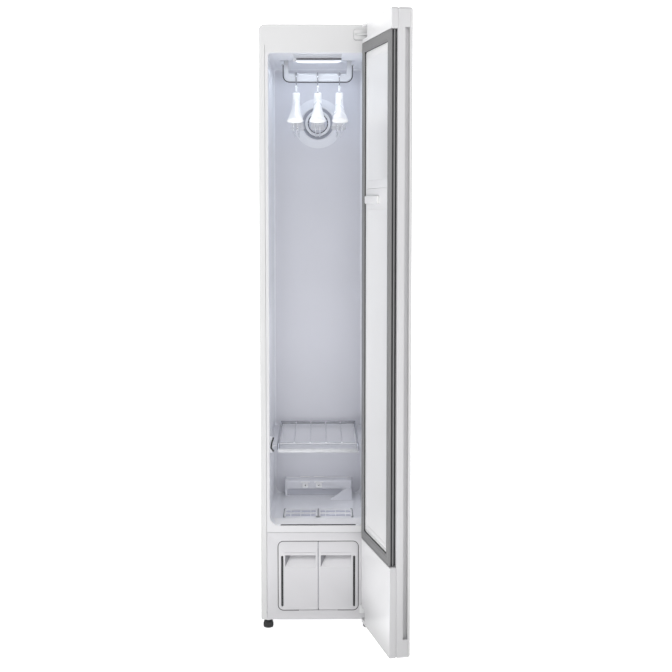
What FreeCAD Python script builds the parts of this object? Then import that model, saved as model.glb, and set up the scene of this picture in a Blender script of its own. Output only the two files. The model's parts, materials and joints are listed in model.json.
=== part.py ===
import FreeCAD, Part
import math
import os

Vector = FreeCAD.Vector

# Frame: X to the right, the front faces -Y, Z up. The origin is on the floor under the middle
# of the cabinet body. Depths are measured backwards from the cabinet's front plane, so the door
# lies at negative depths. All sizes are millimetres.

# ------------------------------------------------------------------ cabinet body
cabinet_width = 354.0
cabinet_depth = 524.0
total_height = 1850.0
foot_height = 32.0
sheet = 1.5
front_strip = 18.0
panel_corner = 6.0
cap_skirt = 60.0
cap_wall = 2.5
cap_corner = 20.0
cap_edge = 4.0
seam = 0.8

# ------------------------------------------------------------------ treatment cavity
header_height = 84.0
lower_height = 296.0
sill_height = 21.0
cavity_width = 298.0
cavity_depth = 435.0
liner_wall = 3.0
cavity_low_corner = 30.0
cavity_high_corner = 12.0
cavity_back_corner = 20.0
ceiling_slots = 4
ceiling_slot_pitch = 24.0
lamp_length = 148.0
lamp_width = 26.0
lamp_depth = 14.0
lamp_bar_gap = 56.0

# ------------------------------------------------------------------ water tanks
bay_width = 249.2
bay_height = 218.5
bay_bottom_gap = 29.0
bay_corner = 17.0
bay_wall = 2.5
bay_end_gap = 9.2
tank_gap = 1.6
tank_rib = 3.0
tank_length = 216.0
tank_wall = 2.5
tank_body_height = 200.0
tank_front_wall = 4.0
panel_return = 12.0
tank_front_depth = 34.0
tank_joint = 0.3
sight_width = 7.0
sight_height = 160.0
sight_inset = 10.0
sight_rise = 12.0
socket_rise = 30.0
mouth_width = 80.0
mouth_length = 136.0
grip_width = 94.0
grip_height = 38.0
grip_depth = 27.0
grip_drop = 45.0
grip_undercut = 9.0
grip_side = 7.0

# ------------------------------------------------------------------ door
door_rise = 19.5
door_slab = 42.0
door_skin = 8.0
door_end_gap = 2.0
door_corner = 12.0
door_free_corner = 3.0
door_end_corner = 8.0
pad_clear = 0.8
pad_corner = 3.0
notch_gap = 5.0
skin_corner = 6.0
door_open_angle = 101.6
pin_inset = 16.0
pin_reach = 29.0
pin_radius = 4.0
bush_wall = 2.5
bush_length = 22.0
hinge_clear = 0.05
hinge_plate = 5.0
hinge_slot_gap = 2.5
flange_offset = 13.0
flange_rise = 11.0
flange_thickness = 3.0
arm_half_width = 11.0
low_flange_length = 20.0
high_flange_length = 38.0
hinge_end_gap = 26.0
hinge_low_gap = 29.0
groove_width = 14.0
groove_depth = 14.0
groove_margin = 54.0
gasket_outer_margin = 16.0
gasket_band = 30.0
gasket_overlap = 32.0
gasket_corner = 22.0
gasket_gap = 0.3
liner_step = 5.0
touch_width = 116.0
touch_height = 196.0
touch_drop = 502.0

# ------------------------------------------------------------------ trouser press on the door
press_width = 252.0
press_height = 1026.0
press_thickness = 9.0
press_bottom_gap = 8.0
press_gap = 0.5
press_pin_radius = 2.0
press_pin_length = 12.0
handle_width = 148.0
handle_height = 23.0
handle_rise = 7.0
handle_drop = 21.0

# ------------------------------------------------------------------ moving hanger bar
bar_width = 213.5
bar_drop = 39.0
bar_height = 26.0
bar_thickness = 12.0
bar_leg = 15.0
bar_corner = 20.0
bar_travel = 10.0
bar_shift = 1.5
trim_drop = 13.0
trim_gap = 2.5
trim_peg = 6.0
collar_rise = 1.5
trim_radius = 1.6
chassis_sheet = 3.0
chassis_reach = 60.0
chassis_end = 6.0
carriage_rise = 8.0
carriage_height = 20.0
rod_radius = 4.0
rod_spread = 34.0
rod_clear = 0.05
lug_width = 8.0

# ------------------------------------------------------------------ hangers
hanger_pitch = 68.0
hook_wire = 2.0
hook_bore = 16.3
hook_bend = 8.0
stem_seat = 20.0
neck_width = 24.0
neck_top_drop = 60.0
arm_end_gap = 31.0
arm_drop = 98.0
arm_end_width = 42.0
arm_end_height = 15.0
rail_spacing = 13.0
rail_drop = 131.0
rail_wire = 2.0

# ------------------------------------------------------------------ vent, fan and duct
vent_drop = 182.0
vent_radius = 56.0
vent_lip = 3.0
vent_disc = 31.0
fan_radius = 44.0
fan_blades = 9
fan_width = 20.0
fan_shaft = 3.0
motor_radius = 23.0
motor_length = 26.0
duct_half_width = 75.0
duct_depth = 62.0
duct_wall = 2.5

# ------------------------------------------------------------------ shelf
shelf_rise = 230.0
shelf_width = 254.0
shelf_front = 27.0
shelf_back_gap = 20.0
shelf_second = 54.0
deck_rise = 16.0
shelf_bend = 10.0
shelf_bend_run = 24.0
front_rod = 7.0
side_rod = 4.0
back_rod = 5.0
deck_wire = 2.0
second_rod = 3.0
front_rod_inset = 3.0
front_rod_drop = 1.0
back_rod_rise = 1.0
deck_wire_rise = 2.5
bay_count = 5
rail_seat_gap = 0.3
rail_ledge = 4.0
rail_web = 3.0
rail_half_height = 12.0
stop_front = 12.0
stop_length = 32.0
stop_height = 50.0
stop_drop = 17.0
stop_width = 9.0

# ------------------------------------------------------------------ cavity floor
tray_height = 7.0
tray_side_gap = 0.4
filter_width = 106.0
filter_length = 116.0
filter_front = 79.0
filter_gap = 0.5
filter_divider = 4.0
slot_height = 3.0
slot_width = 231.0
module_width = 226.0
module_length = 55.0
module_height = 53.0
intake_height = 22.0
ramp_length = 61.0
ramp_height = 25.0
ramp_front_x = 35.0
ramp_back_x = 97.0
mouth_side = 9.0
mouth_right = 33.0
intake_pitch = 14.0
nozzle_pitch = 46.0
nozzle_shift = 21.0
nozzle_drop = 16.0

# ------------------------------------------------------------------ machine space
case_length = 134.0
case_width = 192.0
case_back_gap = 10.0
case_drop = 28.0
coil_length = 44.0
coil_height = 190.0
shell_radius = 50.0
shell_height = 198.0
boiler_width = 126.0
boiler_back_gap = 16.5
boiler_height = 84.0
pump_radius = 24.0
machine_gap = 20.0
board_width = 120.0
board_height = 110.0
gland_inset = 57.0
gland_rise = 250.0
gland_radius = 4.0

# ------------------------------------------------------------------ feet and base
foot_inset_x = 21.5
foot_inset_y = 30.0
pad_radius = 15.75
pad_height = 23.0
stem_radius = 5.0
stem_length = 28.0
stem_clear = 0.05
base_rim = 14.0

# ------------------------------------------------------------------ derived places
half_width = cabinet_width / 2
front_y = -cabinet_depth / 2
strip_x = half_width - front_strip
cap_z = total_height - cap_skirt
cavity_top = total_height - header_height
cavity_floor = foot_height + lower_height
header_z = cavity_top + liner_wall
flange_z = cavity_floor - sill_height
half_cavity = cavity_width / 2
bay_floor = foot_height + bay_bottom_gap
bay_depth = tank_front_depth + tank_joint + tank_length + bay_end_gap
bay_top = bay_floor + bay_height
half_bay = bay_width / 2
liner_back = cavity_depth + liner_wall
vent_z = cavity_top - vent_drop
bar_top = cavity_top - bar_drop
bar_low = bar_top - bar_height
bar_round = bar_thickness / 2
swing_z = bar_top - bar_round
bar_depth = cavity_depth / 2 - bar_shift
arm_span = 2 * (bar_depth - arm_end_gap)
lamp_back = bar_depth - lamp_bar_gap
lamp_front = lamp_back - lamp_width
hook_centre = swing_z - (hook_bore - bar_round - 0.3)
hook_path = hook_bore + hook_wire
neck_top = bar_top - neck_top_drop
chassis_top = header_z + chassis_sheet
carriage_z = chassis_top + carriage_rise
rod_z = carriage_z + carriage_height / 2
shelf_z = cavity_floor + shelf_rise
deck_z = shelf_z + deck_rise
shelf_back = cavity_depth - shelf_back_gap
module_front = cavity_depth - module_length
case_front = cabinet_depth - case_back_gap - case_length
tray_top = cavity_floor + tray_height
base_floor = foot_height + sheet
pin_x = half_width - pin_inset
pin_y = front_y - pin_reach
door_back = -door_rise
door_front = door_back - door_slab
skin_back = door_front + door_skin
door_low = foot_height + door_end_gap
door_high = total_height - door_end_gap
plateau_depth = -liner_step
plateau_x = half_width - gasket_outer_margin + 4.0 - gasket_band
gasket_x = plateau_x + gasket_band
gasket_low = cavity_floor - gasket_overlap
gasket_high = cavity_top + gasket_overlap - 8.0
plateau_low = gasket_low + gasket_band
plateau_high = gasket_high - gasket_band
press_axis_x = -plateau_x + 8.0
press_axis_depth = plateau_depth - 0.5 - press_thickness / 2
press_low = plateau_low + press_bottom_gap
press_high = press_low + press_height


# ------------------------------------------------------------------ small helpers
def y_at(depth):
    """Y of the plane that lies a given depth behind the cabinet's front plane."""
    return front_y + depth


def block(x0, x1, d0, d1, z0, z1):
    """A box between two X values, two depths and two heights."""
    return Part.makeBox(x1 - x0, d1 - d0, z1 - z0, Vector(x0, y_at(d0), z0))


def rod_x(radius, x0, x1, depth, z):
    """A round bar along X."""
    return Part.makeCylinder(radius, x1 - x0, Vector(x0, y_at(depth), z), Vector(1, 0, 0))


def rod_y(radius, d0, d1, x, z):
    """A round bar along the depth."""
    return Part.makeCylinder(radius, d1 - d0, Vector(x, y_at(d0), z), Vector(0, 1, 0))


def rod_z_up(radius, z0, z1, x, depth):
    """A round bar standing upright."""
    return Part.makeCylinder(radius, z1 - z0, Vector(x, y_at(depth), z0))


def mirrored(shape):
    """The same piece on the other side of the cabinet's middle plane."""
    return shape.mirror(Vector(0, 0, 0), Vector(1, 0, 0))


def joined(pieces):
    """Several touching or crossing solids as one."""
    whole = pieces[0].fuse(pieces[1:])
    return whole.removeSplitter()


def edge_at(edge, x=None, y=None, z=None):
    """True when the whole edge keeps to each coordinate that is given."""
    box = edge.BoundBox
    spans = ((x, box.XMin, box.XMax), (y, box.YMin, box.YMax), (z, box.ZMin, box.ZMax))
    return all(v is None or max(abs(low - v), abs(high - v)) < 0.02 for v, low, high in spans)


def rounded(shape, radius, *places):
    """Round the edges that lie at any of the given places, each a dict of x, y and z."""
    edges = [e for e in shape.Edges if any(edge_at(e, **place) for place in places)]
    return shape.makeFillet(radius, edges)


def rounded_path(corners, radii, closed=True):
    """A wire of straight runs and tangent arcs through the given corners."""
    count = len(corners)
    entries = []
    exits = []
    arcs = []
    for i, here in enumerate(corners):
        inner = closed or 0 < i < count - 1
        if not inner or radii[i] <= 0:
            entries.append(here)
            exits.append(here)
            arcs.append(None)
            continue
        back = (corners[i - 1] - here).normalize()
        on = (corners[(i + 1) % count] - here).normalize()
        half = back.getAngle(on) / 2
        reach = radii[i] / math.tan(half)
        centre = here + (back + on).normalize() * (radii[i] / math.sin(half))
        middle = centre + (here - centre).normalize() * radii[i]
        entries.append(here + back * reach)
        exits.append(here + on * reach)
        arcs.append(Part.Arc(entries[i], middle, exits[i]).toShape())
    edges = []
    for i in range(count):
        if arcs[i]:
            edges.append(arcs[i])
        if closed or i < count - 1:
            target = entries[(i + 1) % count]
            if exits[i].distanceToPoint(target) > 1e-6:
                edges.append(Part.LineSegment(exits[i], target).toShape())
    return Part.Wire(edges)


def front_outline(x0, x1, z0, z1, radii, depth):
    """A rounded rectangle seen from the front. Radii: lower left, lower right, upper right, upper left."""
    y = y_at(depth)
    corners = [Vector(x0, y, z0), Vector(x1, y, z0), Vector(x1, y, z1), Vector(x0, y, z1)]
    return rounded_path(corners, radii)


def front_prism(x0, x1, z0, z1, radii, d0, d1):
    """A rounded rectangle seen from the front, drawn out between two depths."""
    face = Part.Face(front_outline(x0, x1, z0, z1, radii, d0))
    return face.extrude(Vector(0, d1 - d0, 0))


def plan_prism(corners, radii, z0, z1):
    """An outline of (x, depth) corners seen from above, drawn out between two heights."""
    points = [Vector(x, y_at(depth), z0) for x, depth in corners]
    return Part.Face(rounded_path(points, radii)).extrude(Vector(0, 0, z1 - z0))


def side_prism(corners, radii, x0, x1):
    """An outline of (depth, z) corners seen from the side, drawn out between two X values."""
    points = [Vector(x0, y_at(depth), z) for depth, z in corners]
    return Part.Face(rounded_path(points, radii)).extrude(Vector(x1 - x0, 0, 0))


def wire_rod(corners, bend, radius):
    """A bent wire: straight runs through the corners with one bend radius."""
    path = rounded_path(corners, [bend] * len(corners), closed=False)
    start = (corners[1] - corners[0]).normalize()
    profile = Part.Wire(Part.makeCircle(radius, corners[0], start))
    return path.makePipeShell([profile], True, True)


def turned_y(profile, x, depth, z):
    """Turn an outline of (radius, depth) points about a line along the depth."""
    points = [Vector(x + r, y_at(depth + d), z) for r, d in profile]
    face = Part.Face(Part.makePolygon(points + [points[0]]))
    return face.revolve(Vector(x, y_at(depth), z), Vector(0, 1, 0), 360)


def turned_z(profile, x, depth):
    """Turn an outline of (radius, z) points about an upright line."""
    points = [Vector(x + r, y_at(depth), z) for r, z in profile]
    face = Part.Face(Part.makePolygon(points + [points[0]]))
    return face.revolve(Vector(x, y_at(depth), 0), Vector(0, 0, 1), 360)


# ------------------------------------------------------------------ casing
def side_panel():
    """Right-hand steel side, wrapped round to a front strip and a rear return."""
    low = foot_height
    outer = block(strip_x, half_width, 0, cabinet_depth, low, cap_z)
    outer = rounded(outer, panel_corner, dict(x=half_width, y=front_y), dict(x=half_width, y=-front_y))
    inner = block(strip_x - 1, half_width - sheet, sheet, cabinet_depth - sheet, low - 1, cap_z + 1)
    corners = (dict(x=half_width - sheet, y=y_at(sheet)), dict(x=half_width - sheet, y=-y_at(sheet)))
    return outer.cut(rounded(inner, panel_corner - sheet, *corners))


def top_cap():
    """Moulded cover with rounded sides; its front carries the header strip above the cavity."""
    outer = block(-half_width, half_width, 0, cabinet_depth, cap_z, total_height)
    sides = (dict(x=-half_width, z=total_height), dict(x=half_width, z=total_height))
    outer = rounded(outer, cap_corner, *sides)
    backs = (dict(x=-half_width, y=-front_y), dict(x=half_width, y=-front_y))
    outer = outer.makeFillet(
        cap_edge,
        [e for e in outer.Edges if edge_at(e, y=front_y) and not edge_at(e, z=cap_z)]
        + [e for e in outer.Edges if any(edge_at(e, **place) for place in backs)],
    )
    inner = block(-half_width + cap_wall, half_width - cap_wall, cap_wall,
                  cabinet_depth - cap_wall, cap_z - 1, total_height - cap_wall)
    crown = total_height - cap_wall
    inner = rounded(inner, cap_corner - cap_wall, dict(x=-half_width + cap_wall, z=crown),
                    dict(x=half_width - cap_wall, z=crown))
    header = block(-strip_x + seam, strip_x - seam, 0, cap_wall, header_z, cap_z + cap_wall)
    return joined([outer.cut(inner), header])


def rear_panel():
    """Steel back with two long stamped ribs and louvre slots low down."""
    d1 = cabinet_depth - sheet
    d0 = d1 - sheet
    edge = strip_x + 10.0
    panel = block(-edge, edge, d0, d1, foot_height + sheet, cap_z)
    rib_low = cavity_floor + 60.0
    for x in (-80.0, 80.0):
        rib = front_prism(x - 14, x + 14, rib_low, cap_z - 80.0, [14] * 4, d1 - 0.5, d1 + 1.2)
        panel = panel.fuse(rib)
    slots = []
    for column in (-70.0, 70.0):
        for row in range(9):
            z = foot_height + 60.0 + row * 22.0
            slots.append(front_prism(column - 42, column + 42, z, z + 6, [2.9] * 4, d0 - 1, d1 + 1))
    x, z = gland_place()
    slots.append(rod_y(gland_radius + 3, d0 - 1, d1 + 1, x, z))
    return panel.cut(slots)


def gland_place():
    """X and height of the cord gland in the rear panel."""
    return half_width - gland_inset, foot_height + gland_rise


def base_plate():
    """Steel tray under the machine space, with a rim and a boss for each foot."""
    x = half_width - sheet
    d0 = panel_return
    d1 = cabinet_depth - 2 * sheet
    tray = block(-x, x, d0, d1, foot_height, foot_height + base_rim)
    tray = rounded(tray, panel_corner, dict(x=-x, y=y_at(d1)), dict(x=x, y=y_at(d1)))
    hollow = block(-x + sheet, x - sheet, d0 + sheet, d1 - sheet, base_floor, foot_height + base_rim + 1)
    plate = tray.cut(hollow)
    for fx, fd in foot_places():
        plate = plate.fuse(rod_z_up(stem_radius + 5, foot_height, foot_height + stem_length - 10, fx, fd))
    for fx, fd in foot_places():
        bore = rod_z_up(stem_radius + stem_clear, foot_height - 1, foot_height + stem_length, fx, fd)
        plate = plate.cut(bore)
    rib_places = [bay_depth * share for share in (0.3, 0.6, 0.9)]
    ribs = [block(-half_bay, half_bay, d, d + 8, foot_height, base_floor + 2.0) for d in rib_places]
    return joined([plate] + ribs)


def foot_places():
    """X and depth of the four feet: front left, front right, rear right, rear left."""
    x = half_width - foot_inset_x
    back = cabinet_depth - foot_inset_y
    return [(-x, foot_inset_y), (x, foot_inset_y), (x, back), (-x, back)]


def foot(x, depth):
    """Levelling foot: a round pad with a hexagon collar and a stem into the base."""
    rim = 3.0
    pad = rod_z_up(pad_radius, 0, pad_height, x, depth)
    pad = rounded(pad, rim, dict(z=0), dict(z=pad_height))
    nut = Part.Face(Part.makePolygon([
        Vector(x + 8 * math.cos(i * math.pi / 3), y_at(depth) + 8 * math.sin(i * math.pi / 3), pad_height)
        for i in range(7)
    ])).extrude(Vector(0, 0, foot_height - pad_height - 0.3))
    stem = rod_z_up(stem_radius, pad_height, foot_height + stem_length, x, depth)
    return joined([pad, nut, stem])


# ------------------------------------------------------------------ cavity
def cavity_space(grow=0.0, front=-1.0):
    """The free space of the treatment cavity, grown outwards by a wall where asked."""
    x = half_cavity + grow
    radii = [cavity_low_corner + grow] * 2 + [cavity_high_corner + grow] * 2
    back = cavity_depth + grow
    space = front_prism(-x, x, cavity_floor - grow, cavity_top + grow, radii, front, back)
    end = [e for e in space.Edges if edge_at(e, y=y_at(back))]
    return space.makeFillet(min(cavity_back_corner, cavity_high_corner - 1) + grow, end)


def cavity_liner():
    """One moulded tub with a front flange, open at the front."""
    tub = cavity_space(liner_wall, 0.0)
    flange = front_prism(-strip_x + seam, strip_x - seam, flange_z, header_z - 0.001,
                         [0] * 4, 0, liner_wall)
    liner = tub.fuse(flange).cut(cavity_space())
    cuts = [rod_y(vent_radius + 0.3, cavity_depth - 5, liner_back + 5, 0, vent_z)]
    leg = bar_width / 2 - bar_leg / 2
    reach = bar_leg / 2 + bar_travel + 1.5
    half_bar = bar_thickness / 2 + 1.5
    for side in (-1, 1):
        cuts.append(block(side * leg - reach, side * leg + reach, bar_depth - half_bar,
                          bar_depth + half_bar, cavity_top - 5, header_z + 5))
    for row in range(ceiling_slots):
        d = lamp_front - (ceiling_slots - row) * ceiling_slot_pitch
        cuts.append(block(-lamp_length / 2, lamp_length / 2, d, d + ceiling_slot_pitch / 2,
                          cavity_top - 5, header_z + 5))
    for x in filter_centres():
        edge = 10.0
        cuts.append(block(x - filter_width / 2 + edge, x + filter_width / 2 - edge,
                          filter_front + edge, filter_front + filter_length - edge,
                          cavity_floor - liner_wall - 5, cavity_floor + 5))
    return liner.cut(cuts).removeSplitter()


def filter_centres():
    """X of the lint filter and of the fragrance filter."""
    step = (filter_width + filter_divider) / 2 + filter_gap
    return (-step, step)


def floor_tray():
    """Insert on the cavity floor: a sloped front with the drip slot and two filter pockets."""
    low = cavity_floor
    side = half_cavity - tray_side_gap
    profile = [(liner_wall, low), (cavity_depth - 1, low), (cavity_depth - 1, tray_top),
               (70.0, tray_top), (liner_wall, low + 3.5)]
    tray = side_prism(profile, [0, 0, 0, 30.0, 1.0], -side, side)
    tray = tray.cut(block(-slot_width / 2, slot_width / 2, liner_wall - 1, 18, low - 1, low + slot_height))
    for x in filter_centres():
        half = filter_width / 2 + filter_gap
        tray = tray.cut(block(x - half, x + half, filter_front - filter_gap,
                              filter_front + filter_length + filter_gap, low - 1, tray_top + 1))
    return tray.common(cavity_space(-tray_side_gap / 2, 0.0).fuse(
        block(-100, 100, 0, cavity_depth - 60, low, tray_top + 1)))


def flat_filter(x, slots):
    """A lift-out filter cassette: frame, cross bars and a finger lip at the front."""
    w = filter_width / 2
    d0 = filter_front
    d1 = d0 + filter_length
    low = cavity_floor + 0.3
    frame = block(x - w, x + w, d0, d1, low, tray_top)
    frame = rounded(frame, 3, dict(x=x - w, y=y_at(d0)), dict(x=x + w, y=y_at(d0)),
                    dict(x=x - w, y=y_at(d1)), dict(x=x + w, y=y_at(d1)))
    rim = 9.0
    gap = 4.0
    pitch = (filter_length - 2 * rim - 16 + gap) / slots
    cuts = []
    for row in range(slots):
        start = d0 + rim + 16 + row * pitch
        cuts.append(block(x - w + rim, x + w - rim, start, start + pitch - gap, low + 1.5, tray_top + 1))
    grip = side_prism([(d0 + 6, tray_top - 4), (d0 + 18, tray_top - 4), (d0 + 18, tray_top + 1),
                       (d0 + 4, tray_top + 1)], [1.5, 1.5, 0, 0], x - 20, x + 20)
    return frame.cut(cuts + [grip])


def ramp_wedge():
    """White ramp that rises from the floor to the module on the right, narrower towards the back."""
    back = module_front + 1
    top = tray_top + ramp_height
    corners = [(back - ramp_length, tray_top), (back, tray_top), (back, top), (module_front - 6, top)]
    wedge = side_prism(corners, [0, 0, 0, 8.0], 0, module_width / 2)
    plan = plan_prism([(ramp_front_x, back - ramp_length - 1), (module_width / 2, back - ramp_length - 1),
                       (module_width / 2, back), (ramp_back_x, back)], [0] * 4, tray_top - 1, top + 1)
    return wedge.common(plan)


def steam_module():
    """Cover over the steam outlet at the back of the floor, with the intake mouth and the ramp."""
    half = module_width / 2
    top = tray_top + module_height
    body = block(-half, half, module_front, cavity_depth - 0.2, tray_top, top)
    body = rounded(body, 6, dict(y=y_at(module_front), z=top), dict(x=-half, y=y_at(module_front)),
                   dict(x=half, y=y_at(module_front)))
    mouth = front_prism(-half + mouth_side, half - mouth_right, tray_top + 3, tray_top + 3 + intake_height,
                        [5] * 4, module_front - 1, module_front + 34)
    module = joined([body, ramp_wedge()]).cut(mouth)
    count = int((2 * half - mouth_side - mouth_right) / intake_pitch)
    middles = [-half + mouth_side + intake_pitch * (i + 0.5) for i in range(count)]
    fins = [block(x - 1, x + 1, module_front + 8, module_front + 34, tray_top + 2.5,
                  tray_top + 4 + intake_height) for x in middles]
    module = joined([module] + fins)
    for x in nozzle_places():
        module = module.cut(rod_y(5.0, module_front - 1, module_front + 16, x, nozzle_z()))
    return module.common(cavity_space(-0.1))


def nozzle_places():
    """X of the two steam outlets."""
    return (-nozzle_shift - nozzle_pitch / 2, -nozzle_shift + nozzle_pitch / 2)


def nozzle_z():
    """Height of the steam outlets on the module's face."""
    return tray_top + module_height - nozzle_drop


def steam_nozzle(x):
    """A small round outlet in a square bezel, with a deflector bar above it."""
    d = module_front
    bezel = front_prism(x - 10, x + 10, nozzle_z() - 8, nozzle_z() + 8, [3] * 4, d - 3, d)
    plug = rod_y(4.9, d - 3, d + 15, x, nozzle_z())
    hood = front_prism(x - 16, x + 16, nozzle_z() + 9, nozzle_z() + 13, [2] * 4, d - 5, d)
    bridge = block(x - 4, x + 4, d - 2, d, nozzle_z() + 7, nozzle_z() + 10)
    outlet = joined([bezel, plug, hood, bridge])
    return outlet.cut(rod_y(2.4, d - 6, d + 16, x, nozzle_z()))


def lamp():
    """Ceiling lamp: a clear moulded bar that hangs just below the ceiling."""
    low = cavity_top - lamp_depth
    x = lamp_length / 2
    body = block(-x, x, lamp_front, lamp_back, low, cavity_top)
    edges = [dict(y=y_at(lamp_front), z=low), dict(y=y_at(lamp_back), z=low)]
    return rounded(body, 4, dict(x=-x, z=low), dict(x=x, z=low), *edges)


# ------------------------------------------------------------------ lower front and tanks
def bay_outline_prism(grow, d0, d1):
    """The tank opening drawn out between two depths, grown outwards where asked."""
    return front_prism(-half_bay - grow, half_bay + grow, bay_floor - grow, bay_top + grow,
                       [bay_corner + grow] * 4, d0, d1)


def lower_front_panel():
    """Moulded front below the sill, with the rounded tank opening and a folded rim."""
    x = strip_x - seam
    high = flange_z - seam
    wall = liner_wall
    panel = block(-x, x, 0, panel_return, foot_height, high)
    panel = panel.cut(block(-x + wall, x - wall, wall, panel_return + 1, foot_height + wall, high - wall))
    panel = panel.fuse(bay_outline_prism(bay_wall, 1, panel_return))
    return panel.cut(bay_outline_prism(0, -1, panel_return + 1)).removeSplitter()


def tank_bay():
    """Moulded bay behind the opening, with a middle rib and the two valve sockets."""
    shell = bay_outline_prism(bay_wall, panel_return, bay_depth + bay_wall)
    shell = shell.cut(bay_outline_prism(0, panel_return - 1, bay_depth))
    rib = block(-tank_rib / 2, tank_rib / 2, tank_front_depth + 4, bay_depth, bay_floor - 1, bay_top + 1)
    shell = joined([shell, rib])
    for side in (-1, 1):
        x = side * half_bay / 2
        z = bay_floor + socket_rise
        socket = rod_y(11, bay_depth - 2, bay_depth + 14, x, z)
        bore = rod_y(8, bay_depth - 3, bay_depth + 15, x, z)
        shell = shell.fuse(socket).cut(bore)
    return shell.removeSplitter()


def tank_outline(inset, inner_x, top, d0, d1):
    """Right-hand tank outline: its outer corners follow the opening, the inner ones stay square."""
    outer_x = half_bay - inset
    low = bay_floor + inset
    corner = bay_corner - inset
    high_corner = corner if top > bay_top - bay_corner else 6.0
    return front_prism(inner_x, outer_x, low, top, [1.0, corner, high_corner, 1.0], d0, d1)


def tank_front():
    """White tank front with a scooped grip, a sight slot and a lid line."""
    wall = tank_front_wall
    top = bay_top - tank_gap
    inner = tank_gap / 2 + 0.3
    front = tank_outline(tank_gap, inner, top, 0, tank_front_depth)
    hollow = tank_outline(tank_gap + 3, inner + 3, top - 3, wall, tank_front_depth + 1)
    shell = front.cut(hollow)
    grip_x0 = inner + grip_side
    grip_x1 = grip_x0 + grip_width
    high = bay_top - grip_drop
    low = high - grip_height
    bucket = side_prism([(0.5, high + 3), (grip_depth + 3, high + 3), (grip_depth + 3, high - 4),
                         (0.5, low - 5)], [0, 4, 4, 0], grip_x0 - 2.5, grip_x1 + 2.5)
    upper = side_prism([(wall - 1, high - 1), (grip_depth + 3, high - 1),
                        (grip_depth + 3, high + grip_undercut + 3), (wall - 1, high + grip_undercut + 3)],
                       [0] * 4, grip_x0 - 2.5, grip_x1 + 2.5)
    scoop = side_prism([(-1, high), (grip_depth, high), (grip_depth, high - 4), (0, low), (-1, low)],
                       [0, 0, 6, 3, 0], grip_x0, grip_x1)
    under = side_prism([(wall, high - 2), (grip_depth, high - 2), (grip_depth, high + grip_undercut),
                        (wall, high + grip_undercut)], [0, 0, 3, 3], grip_x0, grip_x1)
    shell = joined([shell, bucket, upper]).cut([scoop, under])
    slot_x1 = half_bay - sight_inset
    slot_low = bay_floor + sight_rise
    slot = front_prism(slot_x1 - sight_width, slot_x1, slot_low, slot_low + sight_height,
                       [sight_width / 2 - 0.01] * 4, -1, tank_front_depth)
    line = block(grip_x0, grip_x1, -1, 0.6, high + 9, high + 10)
    return shell.cut([slot, line])


def tank_body():
    """Clear tank with an open fill mouth in its lid and a sight nose behind the front slot."""
    d0 = tank_front_depth + tank_joint
    d1 = d0 + tank_length
    inner = tank_rib / 2 + 1.5
    top = bay_floor + tank_body_height
    outer = tank_outline(0.4, inner, top, d0, d1)
    hollow = tank_outline(0.4 + tank_wall, inner + tank_wall, top + 1, d0 + tank_wall, d1 - tank_wall)
    slot_x1 = half_bay - sight_inset
    slot_low = bay_floor + sight_rise
    nose = front_prism(slot_x1 - sight_width + 0.3, slot_x1 - 0.3, slot_low + 0.3,
                       slot_low + sight_height - 0.3, [sight_width / 2 - 0.4] * 4, 1.2, d0 + 1)
    body = joined([outer, nose]).cut(hollow)
    valve = rod_y(7.5, d1 - 1, bay_depth - 0.5, half_bay / 2, bay_floor + socket_rise)
    return joined([body, valve])


def tank_lid():
    """Lid with a fill mouth and a finger tab, pressed into the top of the tank."""
    d0 = tank_front_depth + tank_joint
    d1 = d0 + tank_length
    inner = tank_rib / 2 + 1.5
    top = bay_floor + tank_body_height
    x1 = half_bay - 0.4
    plate = block(inner, x1, d0, d1, top, top + 4)
    plate = rounded(plate, 6, dict(x=x1, y=y_at(d1)), dict(x=inner, y=y_at(d1)))
    gap = tank_wall + 0.2
    plug = block(inner + gap, x1 - gap - 4, d0 + gap, d1 - gap, top - 6, top + 1)
    mouth = fill_mouth((inner + x1) / 2, d0 + 14)
    tab = rounded(block(inner + 40, x1 - 40, d1 - 34, d1 - 22, top + 3, top + 9), 2, dict(z=top + 9))
    return joined([plate, plug, tab]).cut(mouth)


def fill_mouth(middle, d0):
    """The fill opening through a tank lid."""
    top = bay_floor + tank_body_height
    x0 = middle - mouth_width / 2
    x1 = middle + mouth_width / 2
    d1 = d0 + mouth_length
    return plan_prism([(x0, d0), (x1, d0), (x1, d1), (x0, d1)], [10] * 4, top - 10, top + 12)


# ------------------------------------------------------------------ vent, fan and machine space
def vent_ring():
    """Round outlet: a white rim, a ring and a disc joined by six ribs."""
    face = cavity_depth
    rim = turned_y([(vent_radius - 4, 7), (vent_radius - 0.1, 7), (vent_radius - 0.1, 0),
                    (vent_radius + vent_lip, 0), (vent_radius + vent_lip, -2), (vent_radius, -3.5),
                    (vent_radius - 4, -1)], 0, face, vent_z)
    ring = turned_y([(38, 6), (41, 6), (44, -4), (41, -5)], 0, face, vent_z)
    disc = turned_y([(0, 5), (vent_disc - 4, 5), (vent_disc, -1), (vent_disc - 3, -4), (0, -2)],
                    0, face, vent_z)
    ribs = []
    for i in range(6):
        rib = block(vent_disc - 6, vent_radius - 2, face + 0, face + 4.5, vent_z - 1.2, vent_z + 1.2)
        rib.rotate(Vector(0, 0, vent_z), Vector(0, 1, 0), 60 * i + 30)
        ribs.append(rib)
    return joined([rim, ring, disc] + ribs)


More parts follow.
